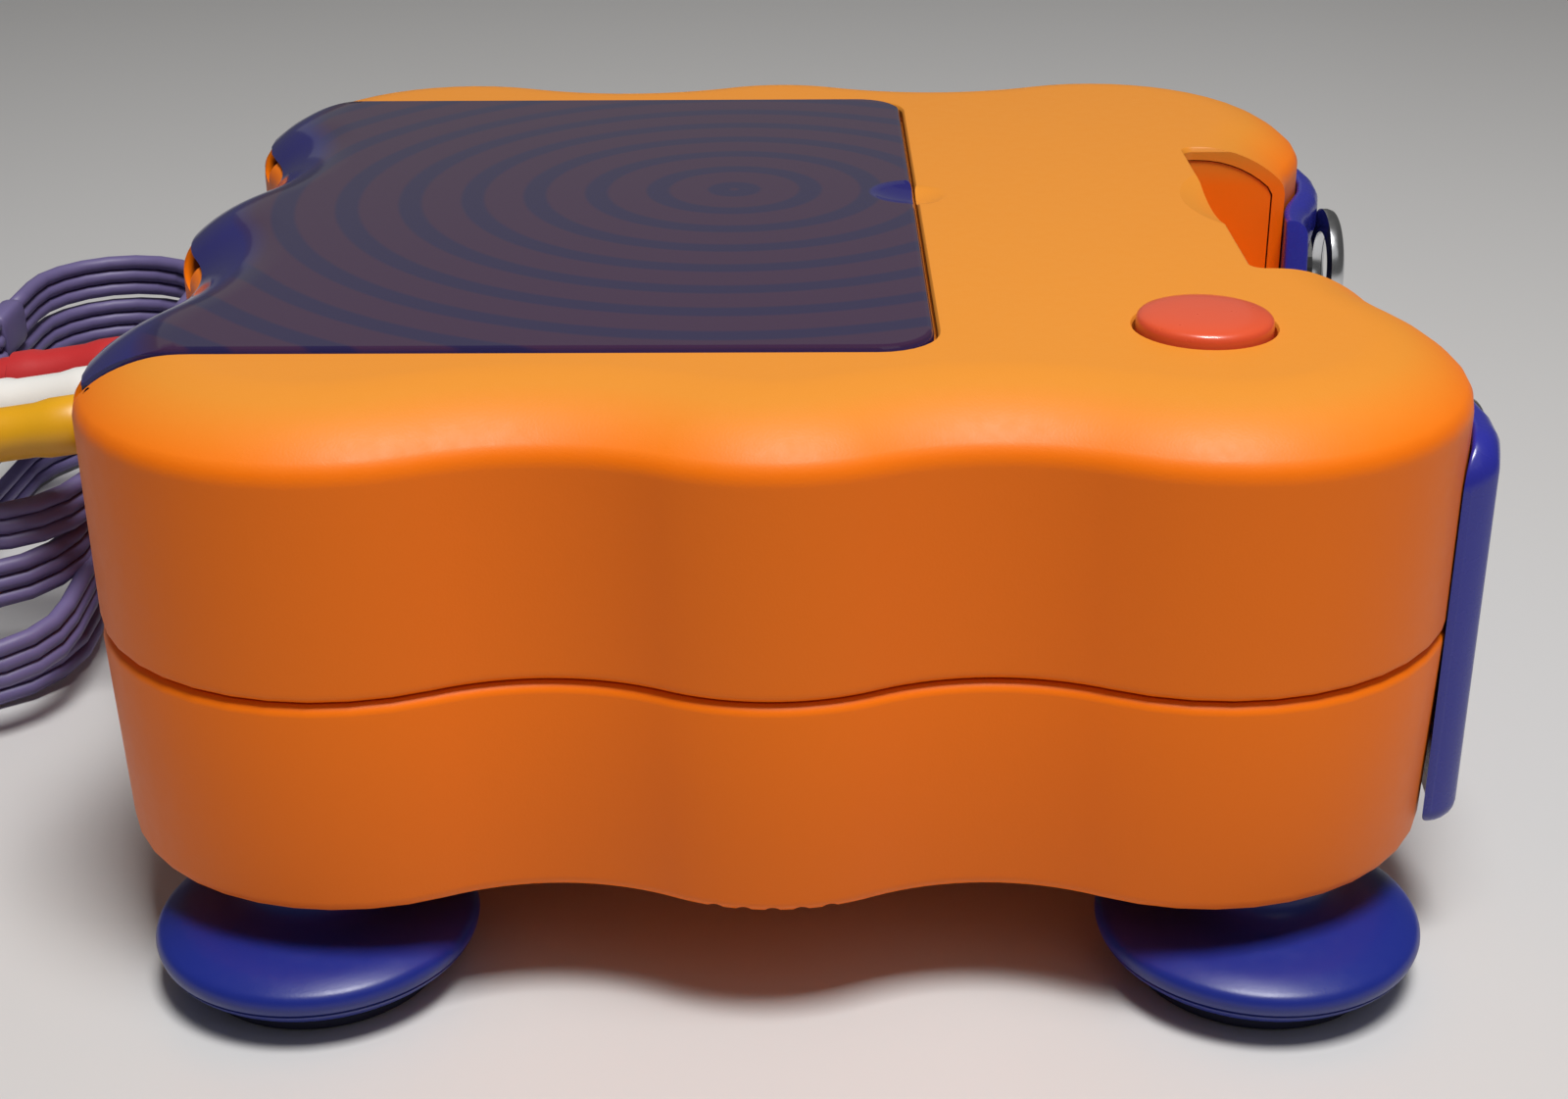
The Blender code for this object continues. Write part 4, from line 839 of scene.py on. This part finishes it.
# (Height from the crown, how far the rim is drawn in there).
LID_RIM = ((-0.0011, 0.0), (-0.0006, 0.00012), (-0.00025, 0.0004), (-0.00005, 0.0009), (0.0003, 0.0022))
RIPPLE_CENTRE = (0.008, MIDDLE_Y + 0.008)
RIPPLE_PITCH = 0.0115
RIPPLE_COUNT = 9
RIPPLE_RIDGE = 0.0012
RIPPLE_DEPTH = 0.0006
RIPPLE_PHASE = 0.25
RIPPLE_BAND = (0.15, 0.65)
RIPPLE_MARGIN = 0.0135
RIPPLE_REAR_MARGIN = 0.0235
RIPPLE_CORNER = 0.006
SLOPE_START = 0.0003
SLOPE_END = 0.0015
FINGER_DISC = (0.0084, 0.0078)
LUG_RADIUS = 0.0022
LUG_STEPS = 16
LUG_SPAN = (0.076, 0.080)
lid_crown = TOP + LID_PROUD
lid_under = lid_crown - LID_THICKNESS
tray_low, tray_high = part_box("storage_tray")


def fill_lid(work):
    inset = LID_THICKNESS - LID_PROUD
    skirt = LID_LIP - 2 * WALL
    wavy_skin(work, inner_edge(inset) + [(inset, skirt), (-LID_PROUD, skirt)] + crease_profile(-LID_PROUD))


def fill_lid_region(work):
    levels = [(LID_LIP, 0.0)] + [(lid_crown + rise, -draw) for rise, draw in LID_RIM]
    block(work, (-LID_HALF_WIDTH, LID_FRONT), (LID_HALF_WIDTH, DEPTH), LID_CORNER, levels)


def fill_lug(work, span):
    ring = []
    for i in range(LUG_STEPS + 1):
        angle = pi + pi * i / LUG_STEPS
        ring.append((HINGE_Y + LUG_RADIUS * cos(angle), HINGE_Z + LUG_RADIUS * sin(angle)))
    ring += [(HINGE_Y + LUG_RADIUS, LID_LIP + JOINT_GAP), (HINGE_Y - LUG_RADIUS, LID_LIP + 2 * JOINT_GAP)]
    loft(work, [[(x, y + MIDDLE_Y, z) for y, z in ring] for x in span])


def paint_lid_seen_through(tree):
    """Dark rings about the ripples' centre with maroon between, painted for the orange tray seen through the
    ripples, and a clearer blue painted on the rear slope for light passing through the edge and at the finger
    scoop, where no tray shows through.
    """
    place = tree.nodes.new("ShaderNodeTexCoord").outputs["Object"]
    centred = add_node(tree, "ShaderNodeMapping", {"Vector": place},
                       {"Location": (-RIPPLE_CENTRE[0], -RIPPLE_CENTRE[1], 0), "Scale": (1, 1, 0)})
    reach = add_node(tree, "ShaderNodeVectorMath", {0: centred}, operation="LENGTH")
    phase = add_node(tree, "ShaderNodeMath", {0: reach}, {1: 2 * pi / RIPPLE_PITCH}, operation="MULTIPLY")
    wave = add_node(tree, "ShaderNodeMath", {0: phase}, operation="SINE")
    band = add_node(tree, "ShaderNodeMapRange", {"Value": wave},
                    {"From Min": RIPPLE_BAND[0], "From Max": RIPPLE_BAND[1]}, interpolation_type="SMOOTHSTEP")
    # Painted see-through: maroon bands stand in for the orange tray seen through the ripples, between dark
    # blue rings.
    painted_tray_bands = add_node(tree, "ShaderNodeMix", {"Factor": band},
                    {"A": (0.064, 0.025, 0.074, 1), "B": (0.028, 0.020, 0.085, 1)}, data_type="RGBA")
    height = add_node(tree, "ShaderNodeSeparateXYZ", {"Vector": place}).node.outputs["Z"]
    slope = add_node(tree, "ShaderNodeMapRange", {"Value": height},
                     {"From Min": lid_crown - SLOPE_START, "From Max": lid_crown - SLOPE_END})
    finger = add_node(tree, "ShaderNodeVectorMath", {0: place}, {1: (SCOOP_X, LID_FRONT + MIDDLE_Y, TOP)},
                      operation="DISTANCE")
    disc = add_node(tree, "ShaderNodeMapRange", {"Value": finger},
                    {"From Min": FINGER_DISC[0], "From Max": FINGER_DISC[1]})
    # Painted light: clearer blue on the rear slope for light passing through the edge, and at the finger
    # scoop where no tray shows through.
    clear = add_node(tree, "ShaderNodeMath", {0: slope, 1: disc}, operation="MAXIMUM")
    return add_node(tree, "ShaderNodeMix", {"Factor": clear, "A": painted_tray_bands},
                    {"B": (0.030, 0.028, 0.20, 1)}, data_type="RGBA")


def ripple_tree():
    """Rings of a round section at an even pitch about the origin."""
    tree = bpy.data.node_groups.new("ripple_rings", "GeometryNodeTree")
    add_sockets(tree, "INPUT", {"Geometry": "Geometry", "Count": "Int", "Pitch": "Float", "Ridge": "Float"})
    add_sockets(tree, "OUTPUT", {"Geometry": "Geometry"})
    given = tree.nodes.new("NodeGroupInput").outputs
    circle = "GeometryNodeCurvePrimitiveCircle"
    row = add_node(tree, "GeometryNodeMeshLine", {"Count": given["Count"]}, {"Offset": (0, 0, 0)})
    order = add_node(tree, "GeometryNodeInputIndex")
    shifted = add_node(tree, "ShaderNodeMath", {0: order}, {1: RIPPLE_PHASE}, operation="ADD")
    reach = add_node(tree, "ShaderNodeMath", {0: shifted, 1: given["Pitch"]}, operation="MULTIPLY")
    ring = add_node(tree, circle, values={"Resolution": 128, "Radius": 1.0})
    copies = add_node(tree, "GeometryNodeInstanceOnPoints", {"Points": row, "Instance": ring, "Scale": reach})
    spread = add_node(tree, "GeometryNodeRealizeInstances", {"Geometry": copies})
    section = add_node(tree, circle, {"Radius": given["Ridge"]}, {"Resolution": 12})
    sweep = add_node(tree, "GeometryNodeCurveToMesh", {"Curve": spread, "Profile Curve": section})
    whole = add_node(tree, "GeometryNodeRealizeInstances", {"Geometry": sweep})
    dress = add_node(tree, "GeometryNodeSetMaterial", {"Geometry": whole}, {"Material": lid_plastic})
    add_node(tree, "NodeGroupOutput", {"Geometry": dress})
    return tree


def ripple_room(work):
    low = (tray_low.x + RIPPLE_MARGIN, tray_low.y + RIPPLE_MARGIN - MIDDLE_Y)
    high = (tray_high.x - RIPPLE_MARGIN, tray_high.y - RIPPLE_REAR_MARGIN - MIDDLE_Y)
    block(work, low, high, RIPPLE_CORNER, ((lid_under - 2 * RIPPLE_DEPTH, 0), (TOP, 0)))


def make_ripples():
    """The ridges under the lid, cut to the room inside the tray's rim."""
    made = new_piece("ripples", lambda work: None, None, body=None)
    maker = made.modifiers.new("rings", "NODES")
    maker.node_group = ripple_tree()
    sizes = {"Count": RIPPLE_COUNT, "Pitch": RIPPLE_PITCH, "Ridge": RIPPLE_RIDGE}
    for item in maker.node_group.interface.items_tree:
        if item.name in sizes:
            maker[item.identifier] = sizes[item.name]
    apply_modifiers(made)
    made.data.transform(Matrix.Translation((*RIPPLE_CENTRE, lid_under + RIPPLE_RIDGE - RIPPLE_DEPTH)))
    cut(made, ripple_room, "INTERSECT")
    return made


lid_plastic, lid_shader = new_finish("lid_plastic")
set_values(lid_shader, {"Roughness": 0.1, "IOR": 1.49, "Transmission Weight": 0.35})
lid_colour = paint_lid_seen_through(lid_plastic.node_tree)
lid_plastic.node_tree.links.new(lid_colour, lid_shader.inputs["Base Color"])
lid = new_piece("violet_storage_lid", fill_lid, lid_plastic, body=None)
cut(lid, fill_lid_region, "INTERSECT")
cut(lid, finger_scoop)
ripples = make_ripples()
cut(lid, lambda work: work.from_mesh(ripples.data), "UNION")
bpy.data.objects.remove(ripples)
for sign in (-1, 1):
    span = sorted((sign * LUG_SPAN[0], sign * LUG_SPAN[1]))
    cut(lid, lambda work: fill_lug(work, span), "UNION")
    drill(lid, HINGE_PIN_RADIUS + JOINT_GAP, (span[0] - WALL, span[1] + WALL), HINGE_AT, "X", HINGE_SIDES)
hand_over(lid, 26, "lid_violet", "storage_lid", body="lid", flat=True)
for side, sign in (("left", -1), ("right", 1)):
    pin_low, pin_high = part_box(f"hinge_pin_{side}")
    inner_end = min(abs(pin_low.x), abs(pin_high.x))
    reach = sorted((sign * inner_end, sign * (PIN_REACH[1] - JOINT_GAP)))
    hinge_pin = turned_piece(f"steel_hinge_pin_{side}", [(HINGE_PIN_RADIUS, end) for end in reach], HINGE_AT,
                             bright_plate, "X", HINGE_SIDES)
    hand_over(hinge_pin, 40, "steel", f"hinge_pin_{side}")


# Restart button: a glossy red cap, slightly domed, with a rounded shoulder. It drops through the top from
# inside, held by a flange, and presses a small switch on its own board.
RESTART_PROUD = 0.0026
RESTART_FLANGE = 0.0128
RESTART_DOME = 0.0019
FLANGE_THICKNESS = 0.0016
# (Drawn in from the cap's radius, share of the dome) and (share of the radius, share of the dome).
CAP_SHOULDER = ((0.00012, 0.32), (0.0005, 0.55), (0.0011, 0.67))
CAP_DOME = ((0.75, 0.84), (0.45, 0.95))
CAP_TIP = 0.02
cap_red = moulded("cap_red", (0.70, 0.090, 0.030), (0.66, 0.075, 0.026), 0.3, 2000.0, 0.00002, 0.5, 0.3)


def domed_cap(radius, flange, under, crown, side, dome):
    """Profile of a pressed cap: flange, upright side, rounded shoulder and a low dome, along its own way."""
    rise = side * dome
    shoulder = crown - rise
    profile = [(flange, under - side * FLANGE_THICKNESS), (flange, under)]
    profile += [(radius, under), (radius, shoulder)]
    profile += [(radius - draw, shoulder + share * rise) for draw, share in CAP_SHOULDER]
    profile += [(radius * width, shoulder + share * rise) for width, share in CAP_DOME]
    return profile + [(radius * CAP_TIP, crown)]


restart_profile = domed_cap(RESTART_RADIUS, RESTART_FLANGE, TOP - WALL - JOINT_GAP, TOP + RESTART_PROUD, 1,
                            RESTART_DOME)
restart = turned_piece("red_restart_cap", restart_profile, (*RESTART_AT, 0), cap_red, steps=96,
                       body="restart")
hand_over(restart, 40, "button_red", "restart_button")


# Feet: moulded royal-blue discs with a rounded rim and a seam just under it, each screwed up into the shell
# through its neck and standing on a soft dark pad.
FOOT_RADIUS = 0.0265
FOOT_NECK = 0.36
FOOT_SPACING = 0.0006
PAD_RADIUS = 0.0205
PAD_HEIGHT = 0.0025
PAD_INSET = 0.0005
# (Drawn in from the foot's or the pad's radius, height), and for the dish (share of the radius, height).
FOOT_UNDER = ((0.0036, 0.0038), (0.0014, 0.0055), (0.0006, 0.0066))
FOOT_SEAM = ((0.00085, 0.00685), (0.00075, 0.00705))
FOOT_RIM = ((0.0003, 0.0072), (0, 0.0085), (0.0004, 0.0098), (0.0013, 0.0106))
FOOT_DISH = ((0.84, 0.0118), (0.66, 0.0128), (0.48, 0.0139), (0.38, 0.0160),
             (FOOT_NECK, lower_low.z - JOINT_GAP))
PAD_SHAPE = ((0.001, 0), (0.0003, 0.0003), (0, 0.001), (0, PAD_HEIGHT))
foot_blue = moulded("foot_blue", (0.010, 0.022, 0.225), (0.008, 0.017, 0.19), 0.36, 2200.0, 0.00004, 0.5)
pad_rubber = moulded("pad_rubber", (0.012, 0.014, 0.045), (0.01, 0.011, 0.03), 0.7, 1500.0, 0.00008)
foot_under = [(PAD_RADIUS - PAD_INSET, 0, PAD_HEIGHT + JOINT_GAP)]
foot_under += [(FOOT_RADIUS - draw, 0, z) for draw, z in FOOT_UNDER]
foot_over = [(FOOT_RADIUS - draw, 0, z) for draw, z in FOOT_RIM]
foot_over += [(FOOT_RADIUS * share, 0, z) for share, z in FOOT_DISH]
foot_profile = [(p.x, p.z) for p in smooth_route(foot_under, FOOT_SPACING)]
foot_profile += [(FOOT_RADIUS - draw, z) for draw, z in FOOT_SEAM]
foot_profile += [(p.x, p.z) for p in smooth_route(foot_over, FOOT_SPACING)]
pad_profile = [(PAD_RADIUS - draw, z) for draw, z in PAD_SHAPE]
for place in ("front_left", "rear_left", "front_right", "rear_right"):
    foot_low, foot_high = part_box(f"foot_{place}")
    foot_at = ((foot_low.x + foot_high.x) / 2, (foot_low.y + foot_high.y) / 2, 0)
    foot = turned_piece(f"blue_foot_{place}", foot_profile, foot_at, foot_blue, steps=96)
    hand_over(foot, 40, "foot_blue", f"foot_{place}")
    pad = turned_piece(f"rubber_pad_{place}", pad_profile, foot_at, pad_rubber, steps=64)
    hand_over(pad, 40, "pad_rubber", f"foot_pad_{place}")


# Front plate: a glossy blue-violet slab that follows the wavy front and stands a little off it, with round
# corners and edges. Two silver rings frame the controller sockets, and the on and off caps come through it.
PLATE_HALF_WIDTH = 0.0865
PLATE_BOTTOM = 0.0225
PLATE_TOP = 0.090
PLATE_THICKNESS = 0.0046
PLATE_THIN = 0.0012
PLATE_TOP_CORNER = 0.008
PLATE_BOTTOM_CORNER = 0.003
PLATE_EDGE = 0.0036
PLATE_BACK_EDGE = 0.0008
PLATE_EDGE_SHARES = (0.8, 0.15)
PLATE_EDGE_STEPS = 5
PLATE_STEPS = 240
PLATE_TIP = 0.00002
PLATE_DIP_HALF = 0.032
PLATE_DIP_SOFT = 0.003
BEZEL_RADIUS = 0.012
BEZEL_DEPTH = 0.003
# (Out from the hole, forward of the back) inside, then the round face and its outer side.
BEZEL_INSIDE = ((0, 0), (0, 0.0014), (0.0005, 0.0022))
BEZEL_OUTSIDE = (0.0012, 0)
BEZEL_FACE = 0.0016
BEZEL_ARC = (0.85, 0.7)
BEZEL_STEPS = 8
BEZEL_FILL = 0.95
FRONT_FLANGE = 0.0088
FRONT_FLANGE_Y = -0.0977
FRONT_DOME = 0.0011
front_rows = {}


def front_surface(x, offset):
    """Y of the front wall at x, for the outline moved out by an offset."""
    key = round(offset, 7)
    if key not in front_rows:
        front_rows[key] = sorted((p.x, p.y) for p in outline(-offset) if p.y < -DEPTH / 4)
    row = front_rows[key]
    for (left, left_y), (right_x, right_y) in zip(row, row[1:]):
        if left <= x <= right_x:
            return left_y + (x - left) / max(right_x - left, 1e-9) * (right_y - left_y) + MIDDLE_Y
    return row[-1][1] + MIDDLE_Y


def corner_rise(from_end, corner):
    """How far a round corner has drawn in, at a distance from the end."""
    inside = max(0.0, corner - from_end)
    return corner - sqrt(max(corner**2 - inside**2, 0.0))


def plate_section(x):
    """The slab's rounded section at x, as (distance off the wall, height) points."""
    from_end = PLATE_HALF_WIDTH - abs(x)
    thin = min(1.0, from_end / PLATE_EDGE)
    thickness = max(PLATE_THIN, PLATE_THICKNESS * sqrt(1 - (1 - thin) ** 2))
    low = PLATE_BOTTOM + corner_rise(from_end, PLATE_BOTTOM_CORNER)
    high = PLATE_TOP - corner_rise(from_end, PLATE_TOP_CORNER)
    high = NOTCH_BOTTOM + (high - NOTCH_BOTTOM) * ease_in((abs(x) - PLATE_DIP_HALF) / PLATE_DIP_SOFT)
    edge = min(PLATE_EDGE, PLATE_EDGE_SHARES[0] * thickness)
    back_edge = min(PLATE_BACK_EDGE, PLATE_EDGE_SHARES[1] * thickness)
    near = JOINT_GAP
    off = near + thickness
    corners = ((off - edge, high - edge, edge), (near + back_edge, high - back_edge, back_edge),
               (near + back_edge, low + back_edge, back_edge), (off - edge, low + edge, edge))
    points = []
    for begin, (centre, level, radius) in enumerate(corners):
        for i in range(PLATE_EDGE_STEPS + 1):
            angle = pi / 2 * (begin + i / PLATE_EDGE_STEPS)
            points.append((round(centre + radius * cos(angle), 5), level + radius * sin(angle)))
    return points


def fill_plate(work):
    rings = []
    for i in range(PLATE_STEPS + 1):
        x = -(PLATE_HALF_WIDTH - PLATE_TIP) * cos(pi * i / PLATE_STEPS)
        rings.append([(x, front_surface(x, off), z) for off, z in plate_section(x)])
    loft(work, rings)


def bezel_profile(back):
    """A ring's closed section: the hole's side, a rounded face and the outer side."""
    hole = SOCKET_RADIUS - WALL / 2
    middle = (hole + BEZEL_RADIUS) / 2
    profile = [(hole + out, back - ahead) for out, ahead in BEZEL_INSIDE]
    for i in range(BEZEL_STEPS + 1):
        angle = pi * (BEZEL_ARC[0] - BEZEL_ARC[1] * i / BEZEL_STEPS)
        profile.append((middle + (BEZEL_RADIUS - hole) / 2 * cos(angle) * BEZEL_FILL,
                        back - BEZEL_FACE - (BEZEL_DEPTH - BEZEL_FACE) * sin(angle)))
    return profile + [(BEZEL_RADIUS, back - ahead) for ahead in BEZEL_OUTSIDE]


plate_blue = moulded("plate_blue", (0.022, 0.025, 0.30), (0.017, 0.020, 0.25), 0.27, 2200.0, 0.00002,
                     drift=0.5, coat=0.15)
plate = new_piece("blue_front_plate", fill_plate, plate_blue, body=None)
silver = metal("silver_plate", (0.74, 0.75, 0.77), 0.16)
for side, sign in (("left", -1), ("right", 1)):
    socket_at = (sign * SOCKET_X, 0, SOCKET_Z)
    drill(plate, SOCKET_RADIUS + JOINT_GAP, FRONT_CUT, socket_at, "Y", steps=64)
    ring_profile = bezel_profile(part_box(f"socket_bezel_{side}")[1].y)
    bezel = turned_piece(f"silver_bezel_{side}", ring_profile, socket_at, silver, "Y", steps=96, closed=True)
    hand_over(bezel, 45, "bezel_silver", f"socket_bezel_{side}")
for side, sign in (("on", -1), ("off", 1)):
    button_at = (sign * FRONT_BUTTON_X, 0, FRONT_BUTTON_Z)
    drill(plate, FRONT_BUTTON_RADIUS + BORE_PLAY, FRONT_CUT, button_at, "Y", steps=64)
    cap_profile = domed_cap(FRONT_BUTTON_RADIUS, FRONT_FLANGE, FRONT_FLANGE_Y + MIDDLE_Y,
                            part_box(f"{side}_button")[0].y, -1, FRONT_DOME)
    cap = turned_piece(f"red_{side}_cap", cap_profile, button_at, cap_red, "Y", steps=64, body=side)
    hand_over(cap, 40, "button_red", f"{side}_button")
hand_over(plate, 40, "plate_blue", "front_plate", body="console")


# Lead gland: a soft ribbed sleeve of the lead's own vinyl, moulded on where the lead leaves the rear wall.
# The wall is held between a flange inside and a collar outside.
GLAND_INSIDE = 0.0105
GLAND_GRIP = 0.005
GLAND_COLLAR = 0.0066
GLAND_COLLAR_END = 0.0072
GLAND_RIBS_START = 0.0074
GLAND_RIBS = 3
# (Radius, share of the ribs' pitch).
GLAND_RIB = ((0.0048, 0), (0.0048, 0.35), (0.0056, 0.45), (0.0056, 0.9))
GLAND_END = 0.0052
gland_low, gland_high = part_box("lead_gland")
gland_middle = (gland_low + gland_high) / 2
gland_outer = (gland_high.x - gland_low.x) / 2
wall_y = gland_low.y + GLAND_INSIDE
gland_profile = [(gland_outer, gland_low.y), (gland_outer, wall_y - GLAND_GRIP)]
gland_profile += [(GLAND_NECK, wall_y - GLAND_GRIP), (GLAND_NECK, wall_y + GLAND_GRIP)]
gland_profile += [(GLAND_COLLAR, wall_y + GLAND_GRIP), (GLAND_COLLAR, wall_y + GLAND_COLLAR_END)]
rib_room = (gland_high.y - wall_y - GLAND_RIBS_START) / GLAND_RIBS
for k in range(GLAND_RIBS):
    at = wall_y + GLAND_RIBS_START + k * rib_room
    gland_profile += [(radius, at + share * rib_room) for radius, share in GLAND_RIB]
gland_profile.append((GLAND_END, gland_high.y))
gland = turned_piece("lead_gland_sleeve", gland_profile, (gland_middle.x, 0, gland_middle.z), lead_vinyl, "Y")
hand_over(gland, 40, "lead_purple", "lead_gland")


# Pieces that stay as modelled in the frame: tray, connector, sockets, boards, switches, battery parts and
# screws. Each slot gets a finish of its own.
inner_finishes = {
    "shell_orange": shell_plastic,
    "black_plastic": moulded("black_plastic", (0.012, 0.012, 0.013), (0.02, 0.02, 0.02), 0.45, 1800.0,
                             0.00005),
    "board_green": moulded("board_green", (0.014, 0.12, 0.035), (0.010, 0.09, 0.028), 0.4, 900.0, 0.00004),
    "steel": metal("pin_steel", (0.55, 0.55, 0.56), 0.28),
}
for part in frame["record"]["subparts"]:
    node = frame["nodes"][part["node"]]
    if not node.hide_render:
        node.data.materials.clear()
        node.data.materials.append(inner_finishes[part["material_slot"]])
